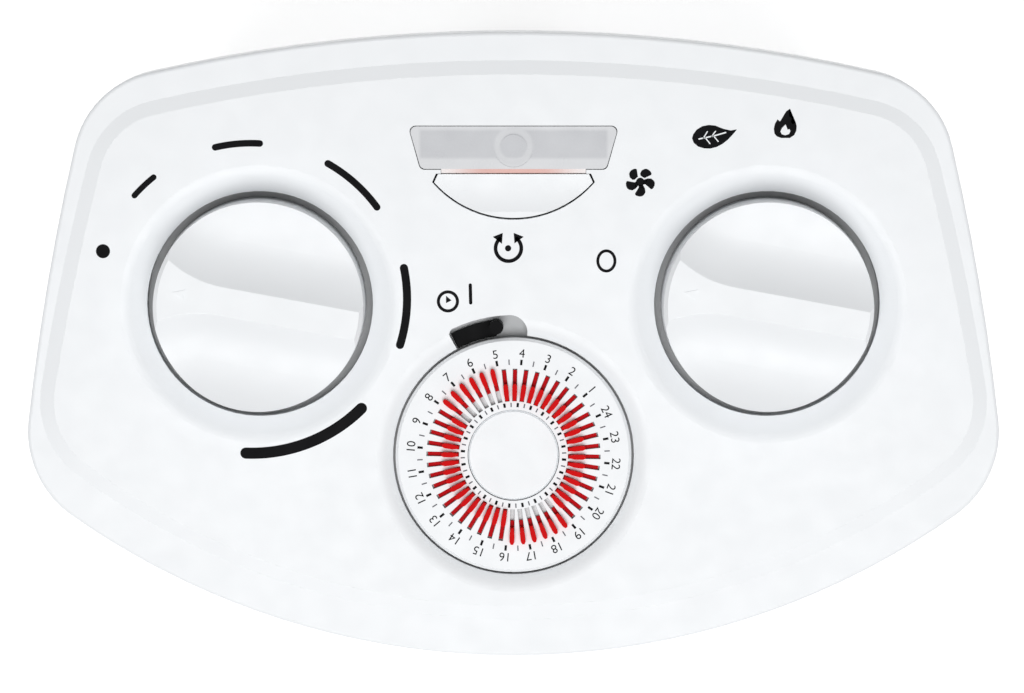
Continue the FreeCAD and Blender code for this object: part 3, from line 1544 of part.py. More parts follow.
def build_fan():
    over = dim.tool_over
    front = baffle_y
    plate = block("baffle_plate", (-dim.baffle_half, front, floor_level),
                  (dim.baffle_half, front + dim.baffle_thick, baffle_top))
    tube = cylinder("duct_tube", dim.duct_radius + dim.duct_wall, dim.duct_length,
                    0, front, fan_level, ALONG_BACK)
    bore = cylinder("duct_bore", dim.duct_radius, dim.duct_length + over * 2,
                    0, front - over, fan_level, ALONG_BACK)
    ring_front = duct_end - dim.motor_ring_depth / 2
    ring = cylinder("motor_holder", dim.motor_radius + dim.motor_ring, dim.motor_ring_depth,
                    0, ring_front, fan_level, ALONG_BACK)
    reach = dim.duct_radius + dim.bond
    half = dim.spider_half
    spider_front = duct_end - dim.spider_depth
    arms = []
    for tag, wide, tall in (("upright", half, reach), ("level", reach, half)):
        arms.append(block(f"spider_{tag}", (-wide, spider_front, fan_level - tall),
                          (wide, duct_end, fan_level + tall)))
    seat = cylinder("motor_seat", dim.motor_radius + dim.close_fit, dim.motor_ring_depth + over * 2,
                    0, ring_front - over, fan_level, ALONG_BACK)
    frame = fuse("duct_frame", cut("duct_open", fuse("duct_solid", plate, tube), bore), ring, *arms)
    keep("fan_baffle", cut("fan_baffle", frame, seat))
    motor_front = duct_end - dim.motor_grip
    can = cylinder("motor_can", dim.motor_radius, dim.motor_length, 0, motor_front, fan_level, ALONG_BACK)
    cap = cylinder("motor_cap", dim.motor_cap_radius, dim.motor_length + dim.motor_cap_depth,
                   0, motor_front, fan_level, ALONG_BACK)
    hole = cylinder("motor_bore", dim.shaft_radius + dim.pivot_clearance, dim.motor_length + over * 3,
                    0, motor_front - over, fan_level, ALONG_BACK)
    keep("fan_motor", cut("fan_motor", fuse("motor_body", can, cap), hole))
    shaft_front = fan_back - dim.fan_depth - dim.bond
    shaft_back = motor_front + dim.motor_length + dim.motor_cap_depth
    keep("motor_shaft", cylinder("motor_shaft", dim.shaft_radius, shaft_back - shaft_front,
                                 0, shaft_front, fan_level, ALONG_BACK))
    build_impeller()


def build_impeller():
    fan = new_body("impeller")
    bore = dim.shaft_radius + dim.close_fit / 2
    revolve(fan, body_sketch(fan, "XZ_Plane", draw_profile, [
        (bore, 0),
        (dim.fan_hub, 0),
        (dim.fan_hub, dim.fan_depth - dim.fan_nose),
        (dim.fan_hub - dim.fan_nose, dim.fan_depth),
        (bore, dim.fan_depth),
    ]))
    middle = dim.fan_depth / 2
    lean_y = cosine(dim.blade_pitch)
    lean_z = sine(dim.blade_pitch)

    def draw_section(sketch, chord):
        half = chord / 2
        side = dim.blade_thick / 2
        draw_profile(sketch, [
            (half * a * lean_y - side * b * lean_z, middle + half * a * lean_z + side * b * lean_y)
            for a, b in ((-1, -1), (1, -1), (1, 1), (-1, 1))
        ])

    blade = fan.newObject("PartDesign::AdditiveLoft", "impeller_blade")
    root_radius = dim.fan_hub - dim.blade_sink
    blade.Profile = body_sketch(fan, "YZ_Plane", draw_section, dim.blade_root_chord, lift=root_radius)
    blade.Sections = [body_sketch(fan, "YZ_Plane", draw_section, dim.blade_tip_chord, lift=dim.fan_radius)]
    blade.Ruled = True
    ring_pattern(fan, [blade], dim.blade_count)
    keep("impeller", move(fan, 0, fan_back, fan_level, ALONG_FRONT))


# Heating element: a frame on the baffle, bars across it, corrugated fins between them and a cutout on top
def fin_row(width, height, depth):
    """A corrugated strip: a zigzag band between two bars."""
    turns = int(width / float(dim.fin_pitch)) * 2
    run = width / turns
    band = float(dim.fin_thick) * math.hypot(1, height / run)
    lower = [FreeCAD.Vector(run * step, 0, (height - band) * (step % 2)) for step in range(turns + 1)]
    upper = [point + FreeCAD.Vector(0, 0, band) for point in reversed(lower)]
    outline = Part.makePolygon(lower + upper + lower[:1])
    return Part.Face(outline).extrude(FreeCAD.Vector(0, depth, 0))


def build_heater():
    over = dim.tool_over
    inset = dim.element_inset
    back = baffle_y
    front = back - dim.frame_depth
    low = fan_level - dim.frame_height / 2
    high = fan_level + dim.frame_height / 2
    solid = block("frame_solid", (-dim.frame_half, front, low), (dim.frame_half, back, high))
    inner_half = dim.frame_half - dim.frame_wall
    inner_low = low + dim.frame_wall
    inner_high = high - dim.frame_wall
    hole = block("frame_hole", (-inner_half, front - over, inner_low), (inner_half, back + over, inner_high))
    keep("heater_frame", cut("heater_frame", solid, hole))
    step = (inner_high - inner_low - dim.bar_height) / (dim.bar_count - 1)
    fin_height = step - dim.bar_height - dim.fit_gap
    strip = fin_row(float(inner_half - dim.bond) * 2, float(fin_height), float(dim.frame_depth - inset * 2))
    bars = []
    rows = []
    for index in range(int(dim.bar_count)):
        level = inner_low + step * index
        bars.append(block(f"heater_bar{index}", (-inner_half, front + inset, level),
                          (inner_half, back - inset, level + dim.bar_height)))
        if index < int(dim.bar_count) - 1:
            rows.append(freeform(f"fin_row{index}", strip, dim.bond - inner_half, front + inset,
                                 level + dim.bar_height + dim.close_fit))
    keep("heater_bars", group("heater_bars", bars))
    keep("heater_fins", group("heater_fins", rows))
    x = dim.frame_half / 2
    foot = block("cutout_base", (x - dim.cutout_half, front + inset, high),
                 (x + dim.cutout_half, back - inset, high + dim.cutout_foot))
    can = cylinder("cutout_can", dim.cutout_radius, dim.cutout_height, x, (front + back) / 2, high)
    keep("thermal_cutout", fuse("thermal_cutout", foot, can))


# Build, check and write
def check_and_write():
    document.recompute()
    for item in document.Objects:
        if any(word in item.State for word in ("Invalid", "Error")):
            raise RuntimeError(f"{item.Name}: {item.State}")
    os.makedirs("parts", exist_ok=True)
    for node, item in parts.items():
        shape = item.Shape
        if shape.isNull() or not shape.isValid() or not shape.Solids:
            raise RuntimeError(f"{node}: the shape is empty or not valid")
        shape.exportStep(f"parts/{node}.step")


build_panel()
build_knobs()
build_units()
build_dial()
build_lever()
build_front_row()
build_shells()
build_floor()
build_screws()
build_grille()
build_base()
build_drive()
build_fan()
build_heater()
check_and_write()
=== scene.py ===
import json
import math

import bmesh
import bpy
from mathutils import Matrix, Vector


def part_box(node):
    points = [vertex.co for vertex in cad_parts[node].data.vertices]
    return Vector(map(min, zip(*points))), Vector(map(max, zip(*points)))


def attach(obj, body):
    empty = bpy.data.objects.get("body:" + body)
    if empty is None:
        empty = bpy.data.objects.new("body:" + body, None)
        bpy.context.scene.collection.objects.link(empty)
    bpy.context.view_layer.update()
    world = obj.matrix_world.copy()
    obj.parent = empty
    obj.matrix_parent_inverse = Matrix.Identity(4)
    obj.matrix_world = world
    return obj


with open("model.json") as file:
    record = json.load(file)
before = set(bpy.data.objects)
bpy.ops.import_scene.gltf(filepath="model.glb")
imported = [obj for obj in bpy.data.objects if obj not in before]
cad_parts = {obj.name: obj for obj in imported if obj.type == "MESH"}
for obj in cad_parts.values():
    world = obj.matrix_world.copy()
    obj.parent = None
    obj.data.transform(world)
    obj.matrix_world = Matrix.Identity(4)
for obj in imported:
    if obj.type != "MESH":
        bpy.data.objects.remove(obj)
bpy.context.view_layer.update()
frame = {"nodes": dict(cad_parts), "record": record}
nodes = frame["nodes"]
MM = 0.001


# Places taken from the solids, in metres
def middle_of(node):
    low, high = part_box(node)
    return (low.x + high.x) / 2, (low.y + high.y) / 2


panel_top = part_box("control_panel")[1].z
dial_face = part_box("timer_dial")[1].z


# Helpers for objects and shader nodes
def add_object(name, data):
    item = bpy.data.objects.new(name, data)
    bpy.context.scene.collection.objects.link(item)
    return item


def new_material(name):
    material = bpy.data.materials.new(name)
    material.use_nodes = True
    tree = material.node_tree
    return material, tree, tree.nodes["Principled BSDF"]


def feed(tree, value, socket):
    """Link a socket to another one, or set it to a number or a colour."""
    if isinstance(value, bpy.types.NodeSocket):
        tree.links.new(value, socket)
    elif socket.type == "RGBA":
        socket.default_value = (*value, 1)
    else:
        socket.default_value = value


def compute(tree, operation, *values):
    """The result of a maths node on values that are numbers or sockets."""
    node = tree.nodes.new("ShaderNodeMath")
    node.operation = operation
    for value, socket in zip(values, node.inputs):
        feed(tree, value, socket)
    return node.outputs["Value"]


def ramp(tree, value, start, end, low=0, high=1, kind="LINEAR"):
    """A value that goes from low at start to high at end."""
    node = tree.nodes.new("ShaderNodeMapRange")
    node.interpolation_type = kind
    limits = {"From Min": start, "From Max": end, "To Min": low, "To Max": high}
    for name, limit in limits.items():
        node.inputs[name].default_value = limit
    tree.links.new(value, node.inputs["Value"])
    return node.outputs["Result"]


def noise(tree, where, scale, detail):
    node = tree.nodes.new("ShaderNodeTexNoise")
    node.inputs["Scale"].default_value = scale
    node.inputs["Detail"].default_value = detail
    tree.links.new(where, node.inputs["Vector"])
    return node.outputs["Fac"]


def blend(tree, factor, first, second):
    """The first colour where the factor is 0, the second where it is 1."""
    mix = tree.nodes.new("ShaderNodeMix")
    mix.data_type = "RGBA"
    tree.links.new(factor, mix.inputs["Factor"])
    feed(tree, first, mix.inputs["A"])
    feed(tree, second, mix.inputs["B"])
    return mix.outputs["Result"]


# Shapes on a surface, measured in metres along the object's own axes: 0 outside and 1 inside
def along(tree, where, axis):
    parts = tree.nodes.new("ShaderNodeSeparateXYZ")
    tree.links.new(where, parts.inputs["Vector"])
    return parts.outputs[axis]


def away_from(tree, where, middle):
    """How far a point is from an upright line."""
    flat = tree.nodes.new("ShaderNodeVectorMath")
    flat.operation = "MULTIPLY"
    flat.inputs[1].default_value = (1, 1, 0)
    tree.links.new(where, flat.inputs[0])
    away = tree.nodes.new("ShaderNodeVectorMath")
    away.operation = "DISTANCE"
    away.inputs[1].default_value = (*middle, 0)
    tree.links.new(flat.outputs["Vector"], away.inputs[0])
    return away.outputs["Value"]


def zone(tree, where, middle, half_sizes, soft):
    """A soft-edged rectangle, seen from above."""
    inside = []
    for axis, centre, half in zip("XY", middle, half_sizes):
        away = compute(tree, "ABSOLUTE", compute(tree, "SUBTRACT", along(tree, where, axis), centre))
        inside.append(ramp(tree, away, half + soft, half - soft, kind="SMOOTHSTEP"))
    return compute(tree, "MULTIPLY", *inside)


def halo(tree, where, middle, radii, soft):
    """A soft-edged ring about an upright line."""
    away = away_from(tree, where, middle)
    inner, outer = radii
    return compute(tree, "MULTIPLY",
                   ramp(tree, away, inner - soft, inner + soft, kind="SMOOTHSTEP"),
                   ramp(tree, away, outer + soft, outer - soft, kind="SMOOTHSTEP"))


def under(tree, where, level, soft):
    """All that lies below a level."""
    return ramp(tree, along(tree, where, "Z"), level + soft, level - soft)


def well(tree, where, middle, radius, level, soft):
    """A disc about an upright line, only below a level."""
    away = away_from(tree, where, middle)
    disc = ramp(tree, away, radius + soft, radius - soft, kind="SMOOTHSTEP")
    return compute(tree, "MULTIPLY", disc, under(tree, where, level, soft))


# Materials: colour, gloss and a fine surface grain that all vary over the piece
NOISE_RANGE = (0.3, 0.7)  # where most of a noise texture's values lie
DRIFT = dict(scale=34, detail=3)
GLOSS_PATCHES = dict(scale=160, detail=4)
GRAIN_DETAIL = 2
GRAIN_HEIGHT = 0.2 * MM


def area(tone, shape, **measures):
    """A further colour of a finish, on the shape that takes it."""
    return lambda tree, where, colour: blend(tree, shape(tree, where, **measures), colour, tone)


def moulded(name, colour, shade, rough, grain, depth, metal=0.0, shine=0.5, areas=()):
    """A finish whose colour drifts down to a shade of itself, with gloss patches and a fine grain."""
    material, tree, shader = new_material(name)
    where = tree.nodes.new("ShaderNodeTexCoord").outputs["Object"]
    for add_area in areas:
        colour = add_area(tree, where, colour)
    tint = tree.nodes.new("ShaderNodeHueSaturation")
    feed(tree, colour, tint.inputs["Color"])
    drift = noise(tree, where, **DRIFT)
    tree.links.new(ramp(tree, drift, *NOISE_RANGE, 1, shade), tint.inputs["Value"])
    tree.links.new(tint.outputs["Color"], shader.inputs["Base Color"])
    patches = noise(tree, where, **GLOSS_PATCHES)
    tree.links.new(ramp(tree, patches, *NOISE_RANGE, *rough), shader.inputs["Roughness"])
    bump = tree.nodes.new("ShaderNodeBump")
    bump.inputs["Strength"].default_value = depth
    bump.inputs["Distance"].default_value = GRAIN_HEIGHT
    tree.links.new(noise(tree, where, grain, GRAIN_DETAIL), bump.inputs["Height"])
    tree.links.new(bump.outputs["Normal"], shader.inputs["Normal"])
    shader.inputs["Metallic"].default_value = metal
    shader.inputs["Specular IOR Level"].default_value = shine
    return material


# Second colours: painted shade, a darker red on the tappets below the dial's face; the lens's pane and
# ring, the light strip's redder middle
TAPPET_STEP = 0.2 * MM
TAPPET_PAINTED_SHADE = [
    # Painted shade: the tappets' parts below the dial's face take a darker red that stands in for the shade
    # in the slots
    area((0.52, 0.004, 0.008), under, level=dial_face - TAPPET_STEP, soft=TAPPET_STEP / 2),
]
LENS_AREAS = [
    area((0.48, 0.49, 0.515), zone, middle=(0, 0.05185), half_sizes=(0.0240, 0.00365), soft=0.0006),
    area((0.56, 0.57, 0.59), halo, middle=(0, 0.0513), radii=(0.0034, 0.0050), soft=0.0005),
]
STRIP_AREAS = [
    area((0.70, 0.40, 0.35), zone, middle=(0, 0.045), half_sizes=(0.0130, 0.05), soft=0.0065),
]

# The finish of each material slot, and the two inks
FINISHES = {
    "white_plastic": dict(
        colour=(0.88, 0.90, 0.92), shade=0.985, rough=(0.36, 0.46), grain=3200, depth=0.015),
    "body_plastic": dict(
        colour=(0.84, 0.86, 0.88), shade=0.98, rough=(0.42, 0.52), grain=2400, depth=0.03),
    "black_plastic": dict(
        colour=(0.002, 0.002, 0.0025), shade=0.7, rough=(0.35, 0.5), grain=2600, depth=0.03, shine=0.04),
    "red_plastic": dict(
        colour=(0.70, 0.005, 0.006), shade=0.9, rough=(0.3, 0.42), grain=2600, depth=0.02, shine=0.02,
        areas=TAPPET_PAINTED_SHADE),
    "smoky_lens": dict(
        colour=(0.61, 0.62, 0.64), shade=0.97, rough=(0.22, 0.3), grain=2600, depth=0.01,
        areas=LENS_AREAS),
    "red_light": dict(
        colour=(0.85, 0.80, 0.79), shade=0.96, rough=(0.25, 0.35), grain=2600, depth=0.01,
        areas=STRIP_AREAS),
    "grey_plastic": dict(
        colour=(0.28, 0.29, 0.30), shade=0.9, rough=(0.42, 0.55), grain=2200, depth=0.04),
    "steel": dict(
        colour=(0.58, 0.58, 0.57), shade=0.88, rough=(0.24, 0.4), grain=1800, depth=0.05, metal=1.0),
    "aluminium_fin": dict(
        colour=(0.66, 0.67, 0.68), shade=0.85, rough=(0.3, 0.45), grain=1800, depth=0.05, metal=1.0),
    "brass_metal": dict(
        colour=(0.62, 0.45, 0.18), shade=0.86, rough=(0.24, 0.38), grain=1800, depth=0.05, metal=1.0),
    "black_rubber": dict(
        colour=(0.02, 0.02, 0.021), shade=0.75, rough=(0.62, 0.8), grain=1500, depth=0.1),
    "natural_plastic": dict(
        colour=(0.74, 0.70, 0.60), shade=0.93, rough=(0.4, 0.55), grain=2200, depth=0.03),
    "black_ink": dict(
        colour=(0.004, 0.004, 0.005), shade=0.75, rough=(0.4, 0.55), grain=4200, depth=0.02, shine=0.04),
    "grey_ink": dict(
        colour=(0.14, 0.14, 0.16), shade=0.85, rough=(0.4, 0.55), grain=4200, depth=0.02, shine=0.2),
}
materials = {name: moulded(name, **finish) for name, finish in FINISHES.items()}

# White plastic with painted shade: grey low in the wells of the panel and in the slots of the dial
WELL_PAINTED_SHADE = (0.42, 0.43, 0.44)
WELL_SHADE_DEPTH = 2.9 * MM
WELL_SHADE_RADII = {
    "thermostat_knob": 36 * MM,
    "selector_knob": 36 * MM,
    "timer_dial": 46 * MM,
    "swivel_button": 30 * MM,
}
SLOT_PAINTED_SHADE = (0.66, 0.66, 0.67)
SLOT_SHADE_DEPTH = 0.8 * MM
SHADE_SOFT = 0.3 * MM
well_shade_level = panel_top - WELL_SHADE_DEPTH
# Painted shade: grey discs below a level in the knob wells, the dial's well and the lever's recess stand in
# for the shade in them
well_painted_shade = [area(WELL_PAINTED_SHADE, well, middle=middle_of(node), radius=radius, level=well_shade_level, soft=SHADE_SOFT)
              for node, radius in WELL_SHADE_RADII.items()]
# Painted shade: the dial is grey below its face, in its slots, for the shade that falls there
slot_painted_shade = [area(SLOT_PAINTED_SHADE, under, level=dial_face - SLOT_SHADE_DEPTH, soft=SHADE_SOFT)]
painted_shade_finishes = {
    "control_panel": moulded("panel_plastic_painted_shade", **FINISHES["white_plastic"], areas=well_painted_shade),
    "timer_dial": moulded("dial_plastic_painted_shade", **FINISHES["white_plastic"], areas=slot_painted_shade),
}

for row in frame["record"]["subparts"]:
    mesh = nodes[row["node"]].data
    mesh.materials.clear()
    mesh.materials.append(painted_shade_finishes.get(row["node"], materials[row["material_slot"]]))

# Printed marks: flat outlines in millimetres and degrees, a thin coat of ink on what carries them
INK_LIFT = 0.01
INK_COAT = 0.03
CAP_STEPS = 10
ARC_STEPS = 24
DOT_STEPS = 24
ROUND_STEPS = 48
DIGIT_SHARE = 0.7  # a digit's height as a share of the font's size


def on_circle(centre, radius, angle):
    turn = math.radians(angle)
    return centre[0] + radius * math.cos(turn), centre[1] + radius * math.sin(turn)


def arc(centre, radius, start, end, steps):
    return [on_circle(centre, radius, start + (end - start) * step / steps) for step in range(steps + 1)]


def oval(centre, half_width, half_height, steps=ROUND_STEPS):
    points = []
    for step in range(steps):
        turn = math.tau * step / steps
        points.append((centre[0] + half_width * math.cos(turn), centre[1] + half_height * math.sin(turn)))
    return points


def moved(points, centre):
    return [(centre[0] + x, centre[1] + y) for x, y in points]


def spun(points, angle, centre):
    turn = math.radians(angle)
    return [(centre[0] + x * math.cos(turn) - y * math.sin(turn),
             centre[1] + x * math.sin(turn) + y * math.cos(turn)) for x, y in points]


class Print:
    def __init__(self, name, level, body, slot, material, thick=INK_COAT):
        self.grid = bmesh.new()
        self.name = name
        self.level = level
        self.body = body
        self.slot = slot
        self.material = material
        self.thick = thick

    def patch(self, points):
        corners = [self.grid.verts.new((x * MM, y * MM, self.level)) for x, y in points]
        bmesh.ops.triangulate(self.grid, faces=[self.grid.faces.new(corners)])

    def dot(self, centre, radius, steps=ROUND_STEPS):
        self.patch(oval(centre, radius, radius, steps))

    def band(self, points, width, closed=False):
        """A stroke along the points, with round ends where it is open."""
        count = len(points)
        sides = []
        for index, (x, y) in enumerate(points):
            before = points[index - 1] if closed or index else points[index]
            after = points[(index + 1) % count] if closed or index < count - 1 else points[index]
            ahead = Vector((after[0] - before[0], after[1] - before[1])).normalized()
            across = Vector((-ahead.y, ahead.x)) * width / 2
            sides.append(((x + across.x, y + across.y), (x - across.x, y - across.y)))
        for index in range(count if closed else count - 1):
            near, far = sides[index], sides[(index + 1) % count]
            self.patch([near[0], near[1], far[1], far[0]])
        if not closed:
            self.cap(points[0], sides[0])
            self.cap(points[-1], sides[-1][::-1])

    def cap(self, centre, side):
        reach_x = side[0][0] - centre[0]
        reach_y = side[0][1] - centre[1]
        start = math.degrees(math.atan2(reach_y, reach_x))
        self.patch(arc(centre, math.hypot(reach_x, reach_y), start, start + 180, CAP_STEPS))

    def number(self, value, height, centre, angle):
        """A number laid flat about its centre and turned by an angle."""
        curve = bpy.data.curves.new("digits", "FONT")
        curve.body = str(value)
        curve.size = height / DIGIT_SHARE
        curve.align_x = "CENTER"
        writer = add_object("digits", curve)
        bpy.context.view_layer.update()
        mesh = bpy.data.meshes.new_from_object(writer.evaluated_get(bpy.context.evaluated_depsgraph_get()))
        for polygon in mesh.polygons:
            outline = [mesh.vertices[index].co for index in polygon.vertices]
            self.patch(spun([(point.x, point.y - height / 2) for point in outline], angle, centre))
        bpy.data.objects.remove(writer)
        bpy.data.curves.remove(curve)
        bpy.data.meshes.remove(mesh)

    def done(self):
        mesh = bpy.data.meshes.new(self.name)
        bmesh.ops.recalc_face_normals(self.grid, faces=self.grid.faces)
        for face in self.grid.faces:
            if face.normal.z < 0:
                face.normal_flip()
        self.grid.to_mesh(mesh)
        self.grid.free()
        piece = add_object(self.name, mesh)
        mesh.materials.append(self.material)
        coat = piece.modifiers.new("coat", "SOLIDIFY")
        coat.thickness = self.thick * MM
        coat.offset = 1
        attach(piece, self.body)


ink = materials["black_ink"]
white = materials["white_plastic"]
panel_print = panel_top + INK_LIFT * MM

# Thermostat scale: a dot and five dashes that grow longer and wider clockwise
SCALE_CENTRE = (-67.2, 12.2)
SCALE_RADIUS = 39.9
SCALE_DOT_ANGLE = 162.2
SCALE_DOT_RADIUS = 1.8
DASHES = (  # start, end and width
    (138.4, 128.6, 1.5),
    (103.2, 86.7, 1.7),
    (60.4, 36.1, 1.8),
    (11.4, -17.4, 2.1),
    (-45.2, -92.3, 2.9),
)
heat = Print("thermostat_scale", panel_print, "housing", "black_plastic", ink)
heat.dot(on_circle(SCALE_CENTRE, SCALE_RADIUS, SCALE_DOT_ANGLE), SCALE_DOT_RADIUS)
for start, end, width in DASHES:
    heat.band(arc(SCALE_CENTRE, SCALE_RADIUS, start, end, ARC_STEPS), width)
heat.done()

# Selector signs: off, fan, leaf and flame, the last three drawn about their own centres
OFF_CENTRE = (23.8, 21.9)
OFF_HALF_WIDTH = 2.2
OFF_HALF_HEIGHT = 2.6
OFF_STROKE = 0.75
FAN_CENTRE = (32.45, 42.2)
FAN_HUB_RADIUS = 1.08
BLADE = [(1.4, -0.38), (2.2, -0.85), (3.0, -1.34), (3.3, -1.3), (3.6, -0.9), (3.77, -0.2), (3.7, 0.45),
         (3.4, 0.9), (2.63, 1.34), (1.7, 1.2), (1.35, 0.75)]
BLADE_ANGLES = (-10.5, 56.5, 129.8, 200.3, 270)
BLADE_ROOT = [(0.9, -0.5), (1.4, -0.38), (1.7, 1.2), (0.8, 0.72)]
ROOT_ANGLES = (-10.5, 200.3, 270)
LEAF_CENTRE = (50.05, 53.75)
LEAF = [(7.06, 1.89), (5.5, 1.61), (3.58, 2.05), (1.54, 2.87), (-0.13, 3.02), (-1.79, 2.71), (-3.2, 1.84),
        (-4.1, 0.64), (-4.4, -0.38), (-3.97, -1.54), (-2.82, -2.51), (-1.28, -2.97), (0.26, -3.02),
        (1.92, -2.61), (3.46, -1.79), (4.74, -0.77), (5.76, 0.31), (6.53, 1.18)]
FLAME_CENTRE = (69.4, 57.0)
FLAME = [(1.28, 3.94), (0.3, 3.25), (-0.18, 2.48), (-0.92, 1.2), (-1.28, 0.67), (-1.89, 1.2), (-2.56, 0.1),
         (-2.84, -1.18), (-2.66, -2.46), (-2.02, -3.17), (-0.92, -3.56), (1.28, -3.56), (2.38, -2.82),
         (2.92, -1.71), (3.0, -0.44), (2.74, 0.49), (2.02, -0.08), (1.56, 0.49), (1.72, 1.56),
         (1.1, 1.94), (1.0, 3.0)]
signs = Print("selector_signs", panel_print, "housing", "black_plastic", ink)
signs.band(oval(OFF_CENTRE, OFF_HALF_WIDTH, OFF_HALF_HEIGHT), OFF_STROKE, closed=True)
signs.dot(FAN_CENTRE, FAN_HUB_RADIUS, DOT_STEPS)
for angle in BLADE_ANGLES:
    signs.patch(spun(BLADE, angle, FAN_CENTRE))
for angle in ROOT_ANGLES:
    signs.patch(spun(BLADE_ROOT, angle, FAN_CENTRE))
signs.patch(moved(LEAF, LEAF_CENTRE))
signs.patch(moved(FLAME, FLAME_CENTRE))
signs.done()

# White marks on two of the signs: a rib and veins on the leaf, a heart in the flame
RIB = [(-2.6, -0.55), (-0.6, -0.15), (1.8, 0.4), (4.2, 1.1)]
RIB_STROKE = 0.34
VEINS = (
    [(-1.5, -0.35), (-0.5, 1.3)],
    [(0.6, 0.1), (1.6, 1.4)],
    [(-1.0, -0.25), (0.2, -1.75)],
    [(1.1, 0.25), (2.3, -1.2)],
)
VEIN_STROKE = 0.28
HEART = [(0.15, -0.1), (-0.75, -1.0), (-1.15, -1.9), (-0.8, -2.6), (0.1, -2.85), (1.05, -2.55), (1.4, -1.8),
         (1.15, -1.25), (0.7, -1.45), (0.45, -0.8)]
lights = Print("sign_lights", panel_print + INK_COAT * MM, "housing", "white_plastic", white)
lights.band(moved(RIB, LEAF_CENTRE), RIB_STROKE)
for vein in VEINS:
    lights.band(moved(vein, LEAF_CENTRE), VEIN_STROKE)
lights.patch(moved(HEART, FLAME_CENTRE))
lights.done()

# Swivel sign: an open ring with two arrowheads and a dot
SWING_CENTRE = (-1.3, 25.15)
SWING_RADIUS = 3.3
SWING_START = 132
SWING_END = 408
SWING_STROKE = 0.95
ARROWHEADS = (
    [(-5.3, 28.1), (-2.95, 26.3), (-2.75, 29.1)],
    [(0.05, 29.1), (0.25, 26.4), (2.6, 28.1)],
)
SWING_DOT = (-1.38, 25.15)
SWING_DOT_RADIUS = 0.8
swing = Print("swivel_sign", panel_print, "housing", "black_plastic", ink)
swing.band(arc(SWING_CENTRE, SWING_RADIUS, SWING_START, SWING_END, ROUND_STEPS), SWING_STROKE)
for arrowhead in ARROWHEADS:
    swing.patch(arrowhead)
swing.dot(SWING_DOT, SWING_DOT_RADIUS, DOT_STEPS)
swing.done()

# Lever signs: a clock for the timer and a stroke for always on
CLOCK_CENTRE = (-16.82, 11.49)
CLOCK_RADIUS = 2.45
CLOCK_STROKE = 0.8
CLOCK_HAND = [(-17.3, 12.95), (-17.3, 11.05), (-15.9, 11.75)]
ALWAYS_ON = [(-11.08, 15.71), (-10.98, 11.11)]
ALWAYS_ON_STROKE = 0.85
clock = Print("lever_signs", panel_print, "housing", "black_plastic", ink)
clock.band(oval(CLOCK_CENTRE, CLOCK_RADIUS, CLOCK_RADIUS), CLOCK_STROKE, closed=True)
clock.patch(CLOCK_HAND)
clock.band(ALWAYS_ON, ALWAYS_ON_STROKE)
clock.done()

# Dial print: hours from 1 to 24 anticlockwise, hour strokes and thin half-hour strokes
HOURS = 24
HOUR_STEP = 360 / HOURS
FIRST_HOUR = 25.2
STROKE_SPANS = ((12.5, 13.6), (23.4, 24.8))
HOUR_STROKE = 0.6
HALF_STROKE = 0.32
NUMBER_ORBIT = 26.5
NUMBER_HEIGHT = 2.2
dial_centre = [value / MM for value in middle_of("timer_dial")]
dial_print = dial_face + INK_LIFT * MM


def stroke(near, far, width, angle):
    """A straight mark that points to the dial's centre."""
    half = width / 2
    return spun([(near, -half), (far, -half), (far, half), (near, half)], angle, dial_centre)


hours = Print("dial_hours", dial_print, "timer", "black_plastic", ink)
halves = Print("dial_halves", dial_print, "timer", "grey_plastic", materials["grey_ink"])
for hour in range(1, HOURS + 1):
    angle = FIRST_HOUR + HOUR_STEP * hour
    for near, far in STROKE_SPANS:
        hours.patch(stroke(near, far, HOUR_STROKE, angle))
        halves.patch(stroke(near, far, HALF_STROKE, angle + HOUR_STEP / 2))
    hours.number(hour, NUMBER_HEIGHT, on_circle(dial_centre, NUMBER_ORBIT, angle), angle - 90)
hours.done()
halves.done()

# Knob pointers: a small raised wedge on the bar of each knob
POINTER_ANGLE = 169.5
POINTER_ORBIT = 20.0
POINTER_SINK = 0.02
POINTER_HEIGHT = 0.2
WEDGE = [(2.0, 0), (-1.2, 1.3), (-0.6, 0), (-1.2, -1.3)]
for body in ("thermostat", "selector"):
    knob = f"{body}_knob"
    middle = [value / MM for value in middle_of(knob)]
    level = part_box(knob)[1].z - POINTER_SINK * MM
    mark = Print(f"{body}_pointer", level, body, "white_plastic", white, POINTER_HEIGHT)
    mark.patch(spun(WEDGE, POINTER_ANGLE, on_circle(middle, POINTER_ORBIT, POINTER_ANGLE)))
    mark.done()

# Camera: almost straight above the panel, its shift in pixels of the image
IMAGE_WIDTH = 1024
TILT = math.radians(5.5)
DISTANCE = 1.4065
SENSOR_WIDTH = 36
FOCAL_LENGTH = 192.65
SHIFT_X = -1.5
SHIFT_Y = -0.5
NEAR_LIMIT = 0.01
camera_data = bpy.data.cameras.new("camera")
camera = add_object("camera", camera_data)
camera.location = Vector((0, 0, panel_top)) + DISTANCE * Vector((0, math.sin(TILT), math.cos(TILT)))
camera.rotation_euler = (-TILT, 0, 0)
camera_data.sensor_width = SENSOR_WIDTH
camera_data.lens = FOCAL_LENGTH
camera_data.shift_x = SHIFT_X / IMAGE_WIDTH
camera_data.shift_y = SHIFT_Y / IMAGE_WIDTH
camera_data.clip_start = NEAR_LIMIT
bpy.context.scene.camera = camera

# Lamps: a large soft one above, and four weak ones low down round the object
FILL_DISTANCE = 1.7
FILL_HEIGHT = 0.16


def lamp(name, place, aim, power, wide):
    data = bpy.data.lights.new(name, "AREA")
    data.shape = "DISK"
    data.size = wide
    data.energy = power
    item = add_object(name, data)
    item.location = place
    item.rotation_euler = (Vector(aim) - Vector(place)).to_track_quat("-Z", "Y").to_euler()


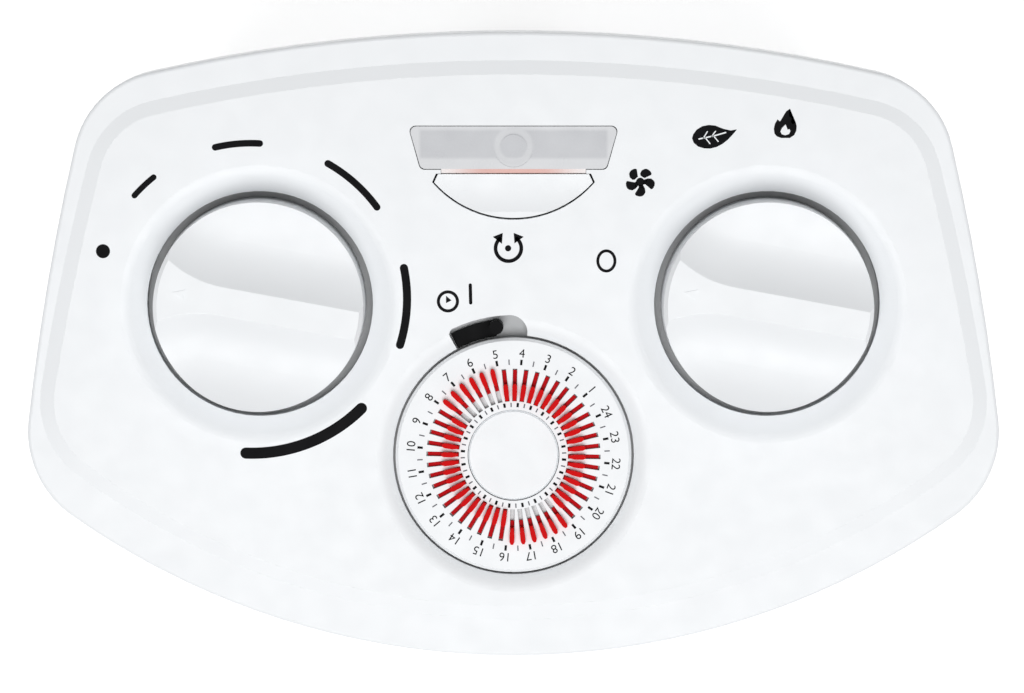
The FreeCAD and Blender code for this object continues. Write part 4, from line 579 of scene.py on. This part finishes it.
lamp("key", place=(0, -0.7, 2.45), aim=(0, 0, 0.3), power=36, wide=1.6)
for x, y in ((0, -1), (1, 0), (0, 1), (-1, 0)):
    lamp("fill", place=(x * FILL_DISTANCE, y * FILL_DISTANCE, FILL_HEIGHT), aim=(0, 0, FILL_HEIGHT),
         power=2, wide=0.28)

# World and floor: a plain level of light on the object, and brighter where they are seen
WHITE_LIGHT = (1, 1, 1, 1)
WORLD_STRENGTH = 0.32
FLOOR_HALF = 4
FLOOR_TONES = ((0.86, 0.86, 0.86), (0.84, 0.84, 0.84))
FLOOR_MOTTLE = dict(scale=3, detail=2)
FLOOR_ROUGHNESS = 0.8
FLOOR_GLOW = 0.66


def seen_rays(tree):
    """1 where the camera, a mirror or clear glass looks, 0 where light falls on the object."""
    rays = tree.nodes.new("ShaderNodeLightPath")
    seen = rays.outputs["Is Camera Ray"]
    for kind in ("Is Glossy Ray", "Is Transmission Ray"):
        seen = compute(tree, "MAXIMUM", seen, rays.outputs[kind])
    return seen


def add_world():
    world = bpy.data.worlds.new("studio")
    bpy.context.scene.world = world
    world.use_nodes = True
    tree = world.node_tree
    plain = tree.nodes["Background"]
    plain.inputs["Color"].default_value = WHITE_LIGHT
    plain.inputs["Strength"].default_value = WORLD_STRENGTH
    bright = tree.nodes.new("ShaderNodeBackground")
    bright.inputs["Color"].default_value = WHITE_LIGHT
    mixer = tree.nodes.new("ShaderNodeMixShader")
    tree.links.new(seen_rays(tree), mixer.inputs["Fac"])
    tree.links.new(plain.outputs["Background"], mixer.inputs[1])
    tree.links.new(bright.outputs["Background"], mixer.inputs[2])
    tree.links.new(mixer.outputs["Shader"], tree.nodes["World Output"].inputs["Surface"])


def add_floor():
    mesh = bpy.data.meshes.new("floor")
    corners = [(x * FLOOR_HALF, y * FLOOR_HALF, 0) for x, y in ((-1, -1), (1, -1), (1, 1), (-1, 1))]
    mesh.from_pydata(corners, [], [(0, 1, 2, 3)])
    floor = add_object("floor", mesh)
    material, tree, shader = new_material("floor")
    where = tree.nodes.new("ShaderNodeTexCoord").outputs["Object"]
    tone = blend(tree, noise(tree, where, **FLOOR_MOTTLE), *FLOOR_TONES)
    tree.links.new(tone, shader.inputs["Base Color"])
    shader.inputs["Roughness"].default_value = FLOOR_ROUGHNESS
    shader.inputs["Emission Color"].default_value = WHITE_LIGHT
    glow = compute(tree, "MULTIPLY", seen_rays(tree), FLOOR_GLOW)
    tree.links.new(glow, shader.inputs["Emission Strength"])
    mesh.materials.append(material)


add_world()
add_floor()
bpy.context.scene.view_settings.view_transform = "Standard"
